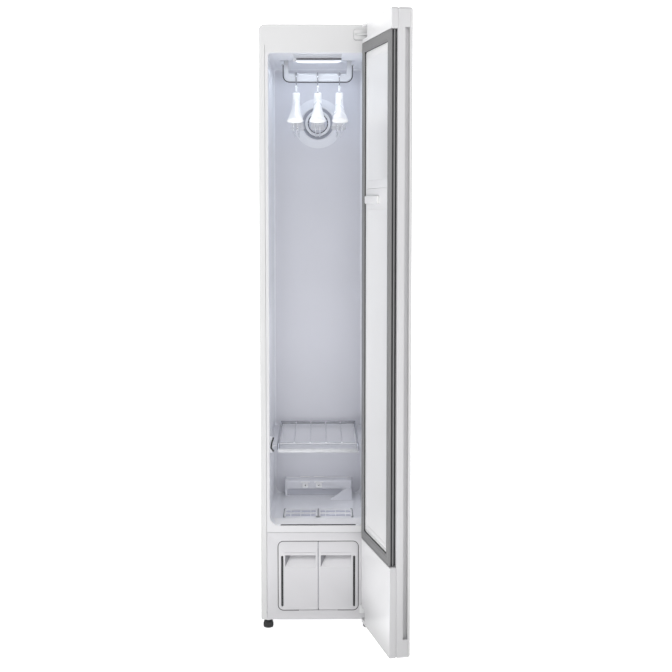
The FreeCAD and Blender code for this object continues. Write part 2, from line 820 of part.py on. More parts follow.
def fan_blade(d0, d1):
    """One backward-curved blade as a thin plate between two arcs."""
    thick = 1.6
    root = 13.0
    a = Vector(root, y_at(d0), vent_z)
    b = Vector((root + fan_radius) / 2, y_at(d0), vent_z + 7.0)
    c = Vector(fan_radius - 1, y_at(d0), vent_z + 3.0)
    lift = Vector(0, 0, thick)
    outer = Part.Arc(a + lift, b + lift, c + lift).toShape()
    inner = Part.Arc(a, b, c).toShape()
    ends = [Part.LineSegment(a, a + lift).toShape(), Part.LineSegment(c, c + lift).toShape()]
    face = Part.Face(Part.Wire(Part.__sortEdges__([outer, inner] + ends)))
    return face.extrude(Vector(0, d1 - d0, 0))


def fan_impeller():
    """Radial impeller: back plate, hub, curved blades, front shroud ring and its shaft."""
    d0 = liner_back + 8.0
    d1 = d0 + fan_width
    plate = rod_y(fan_radius, d1 - 2, d1, 0, vent_z)
    hub = turned_y([(0, 0), (8, 0), (14, fan_width), (0, fan_width)], 0, d0, vent_z)
    shroud = turned_y([(fan_radius - 12, 0), (fan_radius, 2), (fan_radius, 3.5), (fan_radius - 12, 1.5)],
                      0, d0, vent_z)
    blades = []
    for i in range(fan_blades):
        blade = fan_blade(d0 + 2, d1 - 1)
        blade.rotate(Vector(0, 0, vent_z), Vector(0, 1, 0), 360.0 * i / fan_blades)
        blades.append(blade)
    shaft = rod_y(fan_shaft, d1 - 1, d1 + 14, 0, vent_z)
    return joined([plate, hub, shroud, shaft] + blades)


def fan_motor():
    """Round motor on the back wall of the duct, bored for the impeller's shaft."""
    d1 = liner_back + duct_depth - duct_wall
    d0 = d1 - motor_length
    body = turned_y([(0, 3), (motor_radius - 3, 0), (motor_radius, 3), (motor_radius, motor_length),
                     (0, motor_length)], 0, d0, vent_z)
    return body.cut(rod_y(fan_shaft + 0.05, d0 - 1, d0 + 16, 0, vent_z))


def duct_solid(shrink, d0, d1, low):
    """Duct outline with a half-round top round the fan, drawn out between two depths."""
    x = duct_half_width - shrink
    arch = rod_y(x, d0, d1, 0, vent_z)
    return arch.fuse(block(-x, x, d0, d1, low, vent_z)).removeSplitter()


def air_duct():
    """Riser from the heat pump case up the back of the cavity, open towards the liner."""
    low = case_top()
    back = liner_back + duct_depth
    shell = duct_solid(0, liner_back, back, low).cut(duct_solid(duct_wall, liner_back - 1, back - duct_wall,
                                                                low + duct_wall))
    flange_low = cavity_floor + cavity_low_corner
    flange = duct_solid(-12, liner_back, liner_back + duct_wall, flange_low).cut(
        duct_solid(duct_wall, liner_back - 1, liner_back + duct_wall + 1, flange_low - 1))
    apron = block(-duct_half_width, duct_half_width, liner_back, liner_back + duct_wall, low, flange_low + 1)
    inlet = block(-50, 50, liner_back + 10, back - 10, low - 1, low + duct_wall + 1)
    return joined([shell, flange, apron]).cut(inlet)


def case_top():
    """Height of the heat pump case."""
    return cavity_floor - case_drop


def case_span():
    """Left and right sides of the heat pump case, clear of the rear feet."""
    left = -half_width + foot_inset_x + stem_radius + 9.0
    return (left, left + case_width)


def heat_pump_case():
    """Moulded case on the base that leads the air through the two coils."""
    low = base_floor
    x0, x1 = case_span()
    d0 = case_front
    d1 = case_front + case_length
    outer = block(x0, x1, d0, d1, low, case_top())
    outer = rounded(outer, 8, dict(x=x0, z=case_top()), dict(x=x1, z=case_top()))
    inner = block(x0 + 3, x1 - 3, d0 + 3, d1 - 3, low + 3, case_top() - 3)
    outlet = block(-50, 50, liner_back + 10, liner_back + duct_depth - 10, case_top() - 4, case_top() + 1)
    return outer.cut([inner, outlet])


def coil_places():
    """Front faces of the two coils, spread evenly inside the case."""
    return (case_front + 8, case_front + case_length - 18 - coil_length)


def coil(d0):
    """Fin pack with four copper passes."""
    low = base_floor + 3
    x0, x1 = case_span()
    fins = block(x0 + 14, x1 - 14, d0, d0 + coil_length, low, low + coil_height)
    cuts = []
    pitch = (case_width - 36.0) / 13
    for i in range(13):
        x = x0 + 22 + i * pitch
        cuts.append(block(x, x + 5, d0 - 1, d0 + coil_length - 6, low + 6, low + coil_height + 1))
    fins = fins.cut(cuts)
    tubes = []
    for row in range(4):
        z = low + coil_height * (row + 0.55) / 4
        tubes.append(rod_x(4, x0 + 8, x1 - 8, d0 + coil_length - 4, z))
    return joined([fins] + tubes)


def compressor():
    """Hermetic rotary compressor on its mounting foot, with the suction accumulator."""
    x = half_width - shell_radius - 15
    d = cabinet_depth - foot_inset_y - shell_radius - 18
    low = base_floor
    top = low + shell_height
    shell = rod_z_up(shell_radius, low + 8, top, x, d)
    shell = rounded(shell, shell_radius * 0.48, dict(z=top), dict(z=low + 8))
    side = shell_radius + 5
    ends = shell_radius + 2
    corners = [(x - side, d - ends), (x + side, d - ends), (x + side, d + ends), (x - side, d + ends)]
    plate = plan_prism(corners, [14] * 4, low, low + 3)
    ring = rod_z_up(38, low, low + 14, x, d)
    bottle = rod_z_up(17, low + 40, low + 160, x - 20, d - shell_radius - 22)
    bottle = rounded(bottle, 12, dict(z=low + 40), dict(z=low + 160))
    strap = block(x - 26, x - 8, d - shell_radius - 10, d - shell_radius + 10, low + 90, low + 104)
    return joined([shell, plate, ring, bottle, strap])


def steam_generator():
    """Lidded boiler box with a steam outlet elbow, a feed spigot and a heater flange."""
    x0 = -half_width + 21.0
    x1 = x0 + boiler_width
    d0 = bay_depth + machine_gap
    d1 = case_front - boiler_back_gap
    middle = (d0 + d1) / 2
    low = base_floor
    top = low + boiler_height
    box = plan_prism([(x0, d0), (x1, d0), (x1, d1), (x0, d1)], [8] * 4, low, top)
    lid = block(x0 - 4, x1 + 4, d0 - 4, d1 + 4, top - 24, top - 18)
    outlet_x = x1 - 36
    outlet = wire_rod([Vector(outlet_x, y_at(middle), top - 4), Vector(outlet_x, y_at(middle), top + 36),
                       Vector(x1, y_at(middle), top + 36)], 14, 7)
    feed = rod_z_up(4, top - 4, top + 20, x0 + 30, middle)
    return joined([box, lid, outlet, feed])


def water_pump(x):
    """Small centrifugal pump: volute, motor can and two spigots."""
    low = base_floor
    d = (bay_depth + bay_wall + case_front) / 2 - 3
    volute = rod_z_up(pump_radius, low, low + 22, x, d)
    can = rod_z_up(pump_radius - 6, low + 20, low + 70, x, d)
    can = rounded(can, 4, dict(z=low + 70))
    spigot = rod_y(5, d - pump_radius - 16, d - 10, x + 14, low + 11)
    return joined([volute, can, spigot])


def pump_places():
    """X of the two pumps, to the right of the steam generator."""
    x = -half_width + 21.0 + boiler_width + pump_radius
    return (x, x + 2 * pump_radius + 10)


def control_case():
    """Flat box for the control board, screwed to the back of the tank bay."""
    d0 = bay_depth + bay_wall
    x0 = -half_bay + 12
    high = bay_top - 8
    low = high - board_height
    box = front_prism(x0, x0 + board_width, low, high, [6] * 4, d0, d0 + 28)
    ribs = []
    for i in range(7):
        x = x0 + board_width * (i + 1) / 8
        ribs.append(front_prism(x - 3, x + 3, low + 10, high - 10, [2.9] * 4, d0 + 26, d0 + 31))
    return joined([box] + ribs)


def cord_gland():
    """Bush in the rear panel where the supply cord would enter."""
    r = gland_radius
    x, z = gland_place()
    profile = [(r, -3), (r + 2.9, -3), (r + 2.9, 0), (r + 7, 0), (r + 7, 2), (r + 3, 9), (r, 9)]
    return turned_y(profile, x, cabinet_depth - sheet, z)


def casing_screws():
    """Pan-head screws down both edges of the rear panel."""
    d1 = cabinet_depth
    screws = []
    for x in (-strip_x - 8, strip_x + 8):
        for i in range(6):
            z = foot_height + 60 + i * (cap_z - foot_height - 120) / 5
            head = turned_y([(0, 0), (4, 0), (3.4, 2), (1.5, 2.6), (0, 2.6)], x, d1, z)
            screws.append(head)
    return Part.makeCompound(screws)


# ------------------------------------------------------------------ hanger drive
def bar_leg_x():
    """Middle of the right-hand leg of the hanger bar."""
    return bar_width / 2 - bar_leg / 2


def drive_chassis():
    """Plate on the roof of the liner with end lugs for the guide rods and posts for the motor."""
    x = bar_width / 2 + bar_travel + chassis_end
    edge = x + lug_width
    plate = block(-edge, edge, bar_depth - chassis_reach, bar_depth + chassis_reach, header_z, chassis_top)
    lugs = []
    for side in (-1, 1):
        for dd in (-rod_spread, rod_spread):
            d = bar_depth + dd
            x0 = side * x if side > 0 else side * x - lug_width
            lug = side_prism([(d - 9, header_z), (d + 9, header_z), (d + 9, rod_z + 9), (d - 9, rod_z + 9)],
                             [0, 0, 8, 8], x0, x0 + lug_width)
            lugs.append(lug)
    post_top = carriage_z + carriage_height + 6
    posts = [block(px - 6, px + 6, bar_depth + chassis_reach - 8, bar_depth + chassis_reach,
                   header_z, post_top) for px in (-50, 50)]
    reach = bar_leg / 2 + bar_travel + 1.5
    half_bar = bar_thickness / 2 + 1.5
    cuts = [block(s * bar_leg_x() - reach, s * bar_leg_x() + reach, bar_depth - half_bar,
                  bar_depth + half_bar, header_z - 1, chassis_top + 1) for s in (-1, 1)]
    for dd in (-rod_spread, rod_spread):
        cuts.append(rod_x(rod_radius, -x - 20, x + 20, bar_depth + dd, rod_z))
    return joined([plate] + lugs + posts).cut(cuts)


def guide_rods():
    """The two steel rods that carry the hanger carriage."""
    x = bar_width / 2 + bar_travel + chassis_end + lug_width
    rods = [rod_x(rod_radius, -x, x, bar_depth + dd, rod_z) for dd in (-rod_spread, rod_spread)]
    return Part.makeCompound(rods)


def bar_carriage():
    """Sliding block on the guide rods, with a clamp socket for each leg of the bar."""
    x = bar_width / 2
    wide = rod_spread + rod_radius + 7
    top = carriage_z + carriage_height
    slider = block(-x, x, bar_depth - wide, bar_depth + wide, carriage_z, top)
    slider = rounded(slider, 4, dict(z=top))
    d0 = bar_depth - 20
    d1 = bar_depth + 20
    corners = [(-60, d0), (60, d0), (60, d1), (-60, d1)]
    cuts = [plan_prism(corners, [8] * 4, carriage_z - 1, top + 1)]
    for dd in (-rod_spread, rod_spread):
        cuts.append(rod_x(rod_radius + rod_clear, -x - 1, x + 1, bar_depth + dd, rod_z))
    for side in (-1, 1):
        cuts.append(block(side * bar_leg_x() - bar_leg / 2, side * bar_leg_x() + bar_leg / 2,
                          bar_depth - bar_thickness / 2, bar_depth + bar_thickness / 2,
                          carriage_z - 1, top - 4))
    return slider.cut(cuts)


def drive_unit():
    """Sealed motor and gearbox that rocks the carriage, on the chassis posts."""
    low = carriage_z + carriage_height + 6
    gearbox = rounded(block(-62, 62, bar_depth + 20, bar_depth + 70, low, low + 22), 6, dict(z=low + 22))
    motor = rounded(rod_z_up(20, low + 20, total_height - cap_wall - 4, 30, bar_depth + 44), 3,
                    dict(z=total_height - cap_wall - 4))
    return joined([gearbox, motor])


def hanger_bar():
    """White U-shaped bar: rounded top edge under the hooks, two legs up through the ceiling."""
    x = bar_width / 2
    lower = block(-x, x, bar_depth - bar_round, bar_depth + bar_round, bar_low, swing_z)
    crown = rod_x(bar_round, -x, x, bar_depth, swing_z)
    leg_top = carriage_z + carriage_height - 4
    legs = [block(s * bar_leg_x() - bar_leg / 2, s * bar_leg_x() + bar_leg / 2, bar_depth - bar_round,
                  bar_depth + bar_round, bar_low, leg_top) for s in (-1, 1)]
    bar = joined([lower, crown] + legs)
    envelope = front_prism(-x, x, bar_low, leg_top, [bar_corner, bar_corner, 0, 0],
                           bar_depth - bar_round - 1, bar_depth + bar_round + 1)
    bar = bar.common(envelope)
    collars = []
    for cx in hanger_places():
        for offset in (-4.2, 4.2):
            x0 = cx + offset - 1
            collars.append(rod_x(bar_round + collar_rise, x0, x0 + 2, bar_depth, swing_z))
    return joined([bar] + collars)


def hanger_places():
    """X of the three hangers."""
    return (-hanger_pitch, 0.0, hanger_pitch)


def bar_trim():
    """Dark bead along the outside of the U, ending in two small side pegs."""
    x = bar_width / 2 + trim_radius + trim_gap
    z = bar_low - trim_radius
    high = cavity_top - trim_drop
    y = y_at(bar_depth)
    path = [Vector(-x - trim_peg, y, high), Vector(-x, y, high), Vector(-x, y, z), Vector(x, y, z),
            Vector(x, y, high), Vector(x + trim_peg, y, high)]
    corner = bar_corner + trim_radius
    wire = rounded_path(path, [0, 3.0, corner, corner, 3.0, 0], closed=False)
    profile = Part.Wire(Part.makeCircle(trim_radius, path[0], Vector(1, 0, 0)))
    return wire.makePipeShell([profile], True, True)


def hanger_hook(x):
    """Steel hook over the bar: most of a circle, a bend back under its middle, and the stem."""
    centre = Vector(x, y_at(bar_depth), hook_centre)
    first = math.radians(-15)
    last = math.pi + math.acos(hook_bend / (hook_path + hook_bend))
    bend_centre = on_circle(centre, hook_path + hook_bend, last)
    around = [on_circle(centre, hook_path, first + (last - first) * share) for share in (0, 0.5, 1)]
    back = [on_circle(bend_centre, hook_bend, (last - math.pi) * share) for share in (1, 0.5, 0)]
    stem_end = Vector(x, y_at(bar_depth), neck_top - stem_seat)
    path = Part.Wire([Part.Arc(*around).toShape(), Part.Arc(*back).toShape(),
                      Part.LineSegment(back[2], stem_end).toShape()])
    heading = Vector(0, -math.sin(first), math.cos(first))
    profile = Part.Wire(Part.makeCircle(hook_wire, around[0], heading))
    hook = path.makePipeShell([profile], True, False)
    tip = Part.makeSphere(hook_wire + 0.4, around[0])
    bead = turned_z([(0, -4), (3, -3.2), (4.2, -1.2), (4.2, 1.2), (3, 3.2), (0, 4)], x, bar_depth)
    bead.translate(Vector(0, 0, neck_top + 17))
    return hook.fuse([tip, bead])


def on_circle(centre, radius, angle):
    """A point at an angle from the rearward direction on an upright circle across the bar."""
    return centre + Vector(0, radius * math.cos(angle), radius * math.sin(angle))


def trouser_rails(x):
    """Two U-shaped steel rails that hang from the arms."""
    z = neck_top - rail_drop
    high = neck_top - arm_drop + 6.0
    y = y_at(bar_depth)
    reach = arm_span / 2 - 34.0
    rails = []
    for side in (-1, 1):
        rx = x + side * rail_spacing / 2
        rails.append(wire_rod([Vector(rx, y - reach, high), Vector(rx, y - reach, z),
                               Vector(rx, y + reach, z), Vector(rx, y + reach, high)], 8, rail_wire))
    return rails


def arm_section(x, offset, width, low, high, corner):
    """Rounded section of a hanger arm, standing across the arm at one offset from its middle."""
    y = y_at(bar_depth + offset)
    points = [Vector(x - width / 2, y, low), Vector(x + width / 2, y, low),
              Vector(x + width / 2, y, high), Vector(x - width / 2, y, high)]
    return rounded_path(points, [corner * 0.5, corner * 0.5, corner, corner])


def hanger_body(x):
    """Broad-shouldered hanger: a neck and two arms that widen and fall towards their ends."""
    half = arm_span / 2
    end_high = neck_top - arm_drop + arm_end_height / 2
    sections = []
    steps = 6
    for i in range(steps + 1):
        share = i / steps
        offset = share * half
        width = neck_width + (arm_end_width - neck_width) * share ** 1.3
        fall = math.sin(share * math.pi / 2) ** 1.25
        high = neck_top - 30.0 - (neck_top - 30.0 - end_high) * fall
        tall = 34.0 - (34.0 - arm_end_height) * share
        sections.append(arm_section(x, -offset, width, high - tall, high, min(tall, width) * 0.42))
    arm = Part.makeLoft(sections, True, False)
    other = arm.mirror(Vector(x, y_at(bar_depth), 0), Vector(0, 1, 0))
    d = bar_depth
    neck = plan_prism([(x - neck_width / 2, d - 13), (x + neck_width / 2, d - 13),
                       (x + neck_width / 2, d + 13), (x - neck_width / 2, d + 13)], [6] * 4,
                      neck_top - 50.0, neck_top)
    neck = rounded(neck, 2.5, dict(z=neck_top))
    body = joined([neck, arm, other])
    bore = rod_z_up(hook_wire, neck_top - stem_seat, neck_top + 1, x, bar_depth)
    return body.cut([bore] + trouser_rails(x))


# ------------------------------------------------------------------ shelf
def side_wire(x):
    """Side rod of the shelf: level beside the deck, then bent down to the front bar."""
    corners = [Vector(x, y_at(shelf_back + back_rod), deck_z),
               Vector(x, y_at(shelf_front + shelf_bend_run), deck_z),
               Vector(x, y_at(shelf_front), shelf_z - front_rod_drop)]
    wire = rounded_path(corners, [0, shelf_bend, 0], closed=False)
    profile = Part.Wire(Part.makeCircle(side_rod, corners[0], Vector(0, 1, 0)))
    return wire.makePipeShell([profile], True, True)


def wire_shelf():
    """Chrome wire shelf: low thick front bar, bent side rods, back rod, front rail and deck wires."""
    x = shelf_width / 2 - side_rod
    end = shelf_width / 2 - front_rod_inset
    front = rod_x(front_rod, -end, end, shelf_front, shelf_z - front_rod_drop)
    front = rounded(front, front_rod_inset, dict(x=-end), dict(x=end))
    sides = [side_wire(s * x) for s in (-1, 1)]
    back = rod_x(back_rod, -x, x, shelf_back, deck_z + back_rod_rise)
    second = rod_x(second_rod, -x, x, shelf_second, deck_z)
    wires = []
    pitch = 2 * x / bay_count
    for i in range(1, bay_count):
        wires.append(rod_y(deck_wire, shelf_second, shelf_back, -x + i * pitch, deck_z + deck_wire_rise))
    return front.fuse([back, second] + sides + wires)


def shelf_rail():
    """Right-hand wall rail: a web on the liner with a ledge under the shelf's side rod."""
    wall = half_cavity
    seat = deck_z - side_rod - rail_seat_gap
    inner = shelf_width / 2 - 2 * side_rod - 1
    d0 = shelf_front + shelf_bend_run + side_rod
    d1 = shelf_back + 8
    ledge = block(inner, wall, d0, d1, seat - rail_ledge, seat)
    web = block(wall - rail_web, wall, stop_front + stop_length - 4, d1,
                seat - rail_half_height, seat + rail_half_height)
    low = seat - stop_drop
    top = low + stop_height
    stop_back = stop_front + stop_length
    corners = [(stop_front, low), (stop_back - 10, low), (stop_back, low + stop_height / 2),
               (stop_front + stop_length * 0.45, top), (stop_front + stop_length * 0.2, top)]
    stop = side_prism(corners, [4, 2, 2, 3, 3], wall - stop_width, wall)
    return joined([ledge, web, stop])


# ------------------------------------------------------------------ door in its closed place
def door_skin_panel():
    """Front panel of the door: a thick glossy sheet with rounded edges."""
    panel = front_prism(-half_width, half_width, door_low, door_high, [door_end_corner] * 4,
                        door_front, skin_back)
    edges = [dict(x=-half_width, y=y_at(door_front)), dict(x=half_width, y=y_at(door_front))]
    return rounded(panel, skin_corner, *edges)


def hinge_levels():
    """Heights of the undersides of the lower and the upper hinge plate."""
    return (door_low + hinge_low_gap, door_high - hinge_end_gap - hinge_plate)


def door_frame():
    """Foamed core of the door with the finger groove, hinge slots and bush seats."""
    slab = block(-half_width, half_width, skin_back, door_back, door_low, door_high)
    slab = rounded(slab, door_corner, dict(x=half_width, y=y_at(door_back)))
    slab = rounded(slab, door_free_corner, dict(x=-half_width, y=y_at(door_back)))
    ends = [dict(x=x, z=z) for x in (-half_width, half_width) for z in (door_low, door_high)]
    slab = rounded(slab, door_end_corner, *ends)
    groove = front_prism(-half_width - 20, -half_width + groove_depth, door_low + groove_margin,
                         door_high - groove_margin, [5] * 4, skin_back, skin_back + groove_width)
    cuts = [groove]
    low_plate, high_plate = hinge_levels()
    for z in (low_plate, high_plate):
        cuts.append(block(pin_x - flange_offset, half_width + 1, -pin_reach - 23, door_back + 1,
                          z - hinge_slot_gap, z + hinge_plate + hinge_slot_gap))
    outer = pin_radius + hinge_clear + bush_wall
    seat = hinge_slot_gap + bush_length
    cuts.append(rod_z_up(outer, low_plate, low_plate + hinge_plate + seat, pin_x, -pin_reach))
    cuts.append(rod_z_up(outer, high_plate - seat, high_plate, pin_x, -pin_reach))
    x, z0, z1 = touch_place()
    cuts.append(block(-x - 2, x + 2, skin_back - 1, skin_back + 6, z0 - 2, z1 + 2))
    return slab.cut(cuts)


def touch_place():
    """Half width and the two heights of the touch control board."""
    high = total_height - touch_drop
    return touch_width / 2, high - touch_height, high


def hinge_bushes():
    """Plastic bushes that line the door's pin bores."""
    outer = pin_radius + hinge_clear + bush_wall
    low_plate, high_plate = hinge_levels()
    bushes = []
    for z0 in (low_plate + hinge_plate + hinge_slot_gap, high_plate - hinge_slot_gap - bush_length):
        tube = rod_z_up(outer, z0, z0 + bush_length, pin_x, -pin_reach)
        bore = rod_z_up(pin_radius + hinge_clear, z0 - 1, z0 + bush_length + 1, pin_x, -pin_reach)
        bushes.append(tube.cut(bore))
    return Part.makeCompound(bushes)


def door_liner():
    """Inner liner: a raised plateau inside the gasket with the pocket for the trouser press."""
    plateau = front_prism(-plateau_x + 0.3, plateau_x - 0.3, plateau_low + 0.3, plateau_high - 0.3,
                          [10] * 4, door_back, plateau_depth)
    pocket_x0 = press_axis_x - press_thickness / 2 - press_gap
    pocket_x1 = press_axis_x + press_width + press_gap
    pocket_back = press_axis_depth - press_thickness / 2 - press_gap
    pocket = block(pocket_x0, pocket_x1, pocket_back, plateau_depth + 1,
                   press_low - press_gap, press_high + press_gap)
    liner = plateau.cut(pocket)
    for z0, z1 in press_pin_spans():
        liner = liner.cut(rod_z_up(press_pin_radius, z0, z1, press_axis_x, press_axis_depth))
    upper_rib = front_prism(-plateau_x + 22, plateau_x - 22, press_high + 24, plateau_high - 24, [8] * 4,
                            plateau_depth - 1.2, plateau_depth + 1)
    liner = liner.cut(upper_rib)
    return Part.makeCompound([liner, door_pad(False), door_pad(True)])


def door_pad(upper):
    """Raised panel beyond the gasket, level with it and notched for the hinge."""
    edge = gasket_x
    plate_z = hinge_levels()[1 if upper else 0]
    flange_length = high_flange_length if upper else low_flange_length
    if upper:
        z0, z1, radii = gasket_high + pad_clear, door_high, [0, 0, 0, door_end_corner]
    else:
        z0, z1, radii = door_low, gasket_low - pad_clear, [door_end_corner, 0, 0, 0]
    pad = front_prism(-half_width, edge, z0, z1, radii, door_back, -pad_clear)
    pad = rounded(pad, pad_corner, dict(x=-half_width, y=y_at(-pad_clear)), dict(x=edge, y=y_at(-pad_clear)))
    notch = block(pin_x - flange_offset - flange_length - notch_gap, edge + 1, door_back - 1, 1,
                  plate_z - flange_rise - notch_gap, plate_z + hinge_plate + flange_rise + notch_gap)
    return pad.cut(notch)


def press_pin_spans():
    """Heights of the two press hinge pins."""
    inside = press_pin_length / 2
    reach = press_gap + 5
    return ((press_low - reach, press_low + inside), (press_high - inside, press_high + reach))


def press_pins():
    """Two short steel pins between the liner and the press board."""
    pins = []
    for z0, z1 in press_pin_spans():
        pins.append(rod_z_up(press_pin_radius, z0, z1, press_axis_x, press_axis_depth))
    return Part.makeCompound(pins)


def press_board():
    """Trouser press board, hinged along its rounded free-side edge."""
    radius = press_thickness / 2
    d0 = press_axis_depth - radius
    d1 = press_axis_depth + radius
    plate = block(press_axis_x, press_axis_x + press_width, d0, d1, press_low, press_high)
    plate = rounded(plate, 3, dict(x=press_axis_x + press_width, y=y_at(d1)))
    barrel = rod_z_up(radius, press_low, press_high, press_axis_x, press_axis_depth)
    board = joined([plate, barrel])
    field = front_prism(press_axis_x + 14, press_axis_x + press_width - 12, press_low + 14,
                        press_high - 60, [10] * 4, d1 - 1.0, d1 + 1)
    cuts = [field]
    for z0, z1 in press_pin_spans():
        inner0 = max(z0, press_low - 1)
        inner1 = min(z1, press_high + 1)
        bottom = inner0 if z0 < press_low else inner0 - 0.2
        top = inner1 if z1 > press_high else inner1 + 0.2
        cuts.append(rod_z_up(press_pin_radius + 0.05, bottom, top, press_axis_x, press_axis_depth))
    return board.cut(cuts)


def press_handle():
    """Grip bar on the press board, hollow behind its top edge."""
    d0 = press_axis_depth + press_thickness / 2
    x1 = press_axis_x + press_width - 2
    x0 = x1 - handle_width
    z1 = press_high - handle_drop
    z0 = z1 - handle_height
    bar = front_prism(x0, x1, z0, z1, [4] * 4, d0, d0 + handle_rise)
    bar = rounded(bar, 2, dict(y=y_at(d0 + handle_rise)))
    scoop = block(x0 + 8, x1 - 8, d0 + 0.001, d0 + handle_rise - 2.5, z1 - 9, z1 + 1)
    return bar.cut(scoop)


def door_gasket():
    """Bellows gasket ring round the plateau."""
    def ring(inset, d0, d1):
        outer = front_prism(-gasket_x + inset, gasket_x - inset, gasket_low + inset, gasket_high - inset,
                            [gasket_corner - inset] * 4, d0, d1)
        inner = front_prism(-plateau_x, plateau_x, plateau_low, plateau_high, [10.3] * 4, d0 - 1, d1 + 1)
        return outer.cut(inner)

    head = ring(0, -gasket_gap - 7, -gasket_gap)
    neck = ring(7, -gasket_gap - 10.5, -gasket_gap - 6)
    foot_ring = ring(2, door_back, -gasket_gap - 9.5)
    return joined([head, neck, foot_ring])


def touch_board():
    """Touch control board glued behind the front panel."""
    x, z0, z1 = touch_place()
    return front_prism(-x, x, z0, z1, [3] * 4, skin_back, skin_back + 4)


def hinge_bracket(plate_z, upward, flange_length):
    """Cabinet-side hinge: a flange on the front, an arm and the pin."""
    x1 = pin_x - flange_offset
    x0 = x1 - flange_length
    z0 = plate_z - flange_rise
    z1 = plate_z + hinge_plate + flange_rise
    flange = front_prism(x0, x1, z0, z1, [3] * 4, -flange_thickness, 0)
    root = -flange_thickness + 0.5
    reach = arm_half_width
    arm = plan_prism([(x0 + 4, root), (x1, root), (pin_x + 8, -pin_reach + 8), (pin_x + 8, -pin_reach - 8),
                      (pin_x - reach, -pin_reach - 8), (pin_x - reach, -door_rise + 2)],
                     [0, 2, 7, 7, 7, 2], plate_z, plate_z + hinge_plate)
    pin_length = hinge_plate + hinge_slot_gap + bush_length - 2
    pin_z = plate_z if upward else plate_z + hinge_plate - pin_length
    pin = rod_z_up(pin_radius, pin_z, pin_z + pin_length, pin_x, -pin_reach)
    return joined([flange, arm, pin])


def hinge_brackets():
    """Lower and upper hinge brackets."""
    low_plate, high_plate = hinge_levels()
    lower = hinge_bracket(low_plate, True, low_flange_length)
    upper = hinge_bracket(high_plate, False, high_flange_length)
    return Part.makeCompound([lower, upper])


def hinge_cover():
    """Rounded plastic cap over the upper bracket's flange."""
    plate_z = hinge_levels()[1]
    x1 = pin_x - flange_offset
    x0 = x1 - high_flange_length
    z0 = plate_z - flange_rise
    z1 = plate_z + hinge_plate + flange_rise
    face = -flange_thickness
    cover = front_prism(x0 - 2, x1 + 1, z0 - 2, z1 + 2, [6, 2, 2, 6], face - 3, 0)
    cover = rounded(cover, 1.5, dict(y=y_at(face - 3)))
    pocket = front_prism(x0, x1 + 5, z0, z1, [3, 0, 0, 3], face, 1)
    slot = block(x0 + 2, x1 + 5, face - 4, 1, plate_z - 0.4, plate_z + hinge_plate + 0.4)
    return cover.cut([pocket, slot])


def opened(shape):
    """Turn a door piece from its closed place to the open rest place."""
    turned = shape.copy()
    turned.rotate(Vector(pin_x, pin_y, 0), Vector(0, 0, 1), door_open_angle)
    return turned


# ------------------------------------------------------------------ assembly
def tank_pair():
    """Fronts and bodies of both tanks."""
    front = tank_front()
    body = Part.makeCompound([tank_body(), tank_lid()])
    return {
        "supply_tank_front": mirrored(front),
        "supply_tank_body": mirrored(body),
        "drain_tank_front": front,
        "drain_tank_body": body,
    }


def cabinet_parts():
    """Everything that stays fixed to the cabinet."""
    panel = side_panel()
    rail = shelf_rail()
    return {
        "side_panel_left": mirrored(panel),
        "side_panel_right": panel,
        "top_cap": top_cap(),
        "rear_panel": rear_panel(),
        "base_plate": base_plate(),
        "cavity_liner": cavity_liner(),
        "lower_front_panel": lower_front_panel(),
        "tank_bay": tank_bay(),
        "vent_ring": vent_ring(),
        "fan_motor": fan_motor(),
        "air_duct": air_duct(),
        "drive_chassis": drive_chassis(),
        "guide_rods": guide_rods(),
        "drive_unit": drive_unit(),
        "ceiling_lamp": lamp(),
        "floor_tray": floor_tray(),
        "steam_module": steam_module(),
        "steam_nozzles": Part.makeCompound([steam_nozzle(x) for x in nozzle_places()]),
        "steam_generator": steam_generator(),
        "water_pumps": Part.makeCompound([water_pump(x) for x in pump_places()]),
        "compressor": compressor(),
        "heat_pump_case": heat_pump_case(),
        "heat_exchangers": Part.makeCompound([coil(d) for d in coil_places()]),
        "control_case": control_case(),
        "hinge_brackets": hinge_brackets(),
        "hinge_cover": hinge_cover(),
        "shelf_rails": Part.makeCompound([mirrored(rail), rail]),
        "cord_gland": cord_gland(),
        "casing_screws": casing_screws(),
    }


def door_parts():
    """The door group, turned to its open rest place."""
    closed = {
        "door_front_panel": door_skin_panel(),
        "door_frame": door_frame(),
        "door_liner": door_liner(),
        "door_gasket": door_gasket(),
        "touch_board": touch_board(),
        "hinge_bushes": hinge_bushes(),
        "press_pins": press_pins(),
        "press_board": press_board(),
        "press_handle": press_handle(),
    }
    return {name: opened(shape) for name, shape in closed.items()}


def moving_parts():
    """Hanger bar, hangers, shelf, filters, impeller and feet."""
    left_filter, right_filter = filter_centres()
    found = {
        "hanger_bar": hanger_bar(),
        "bar_trim": bar_trim(),
        "bar_carriage": bar_carriage(),
        "wire_shelf": wire_shelf(),
        "lint_filter": flat_filter(left_filter, 6),
        "fragrance_filter": flat_filter(right_filter, 3),
        "fan_impeller": fan_impeller(),
    }
    for number, x in enumerate(hanger_places(), 1):
        found["hanger_body_%d" % number] = hanger_body(x)
        found["hanger_hook_%d" % number] = Part.makeCompound([hanger_hook(x)] + trouser_rails(x))
    for number, (x, depth) in enumerate(foot_places(), 1):
        found["foot_%d" % number] = foot(x, depth)
    return found


def main():
    os.makedirs("parts", exist_ok=True)
    parts = {}
    parts.update(cabinet_parts())
    parts.update(tank_pair())
    parts.update(door_parts())
    parts.update(moving_parts())
    for name, shape in parts.items():
        shape.exportStep("parts/%s.step" % name)
        print("%-20s solids %2d  valid %s" % (name, len(shape.Solids), shape.isValid()))
    print("nodes", len(parts))


main()
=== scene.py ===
# %% [markdown]
# # A clothes care steam cabinet
# This lesson dresses a slim steam cabinet whose door stands open. The solids come from the packed
# frame: every panel, hinge and tank is already in its place, in metres, with Z up and the front
# facing -Y. Each cell below adds a finish or a detailed piece, and says why it is made that way.

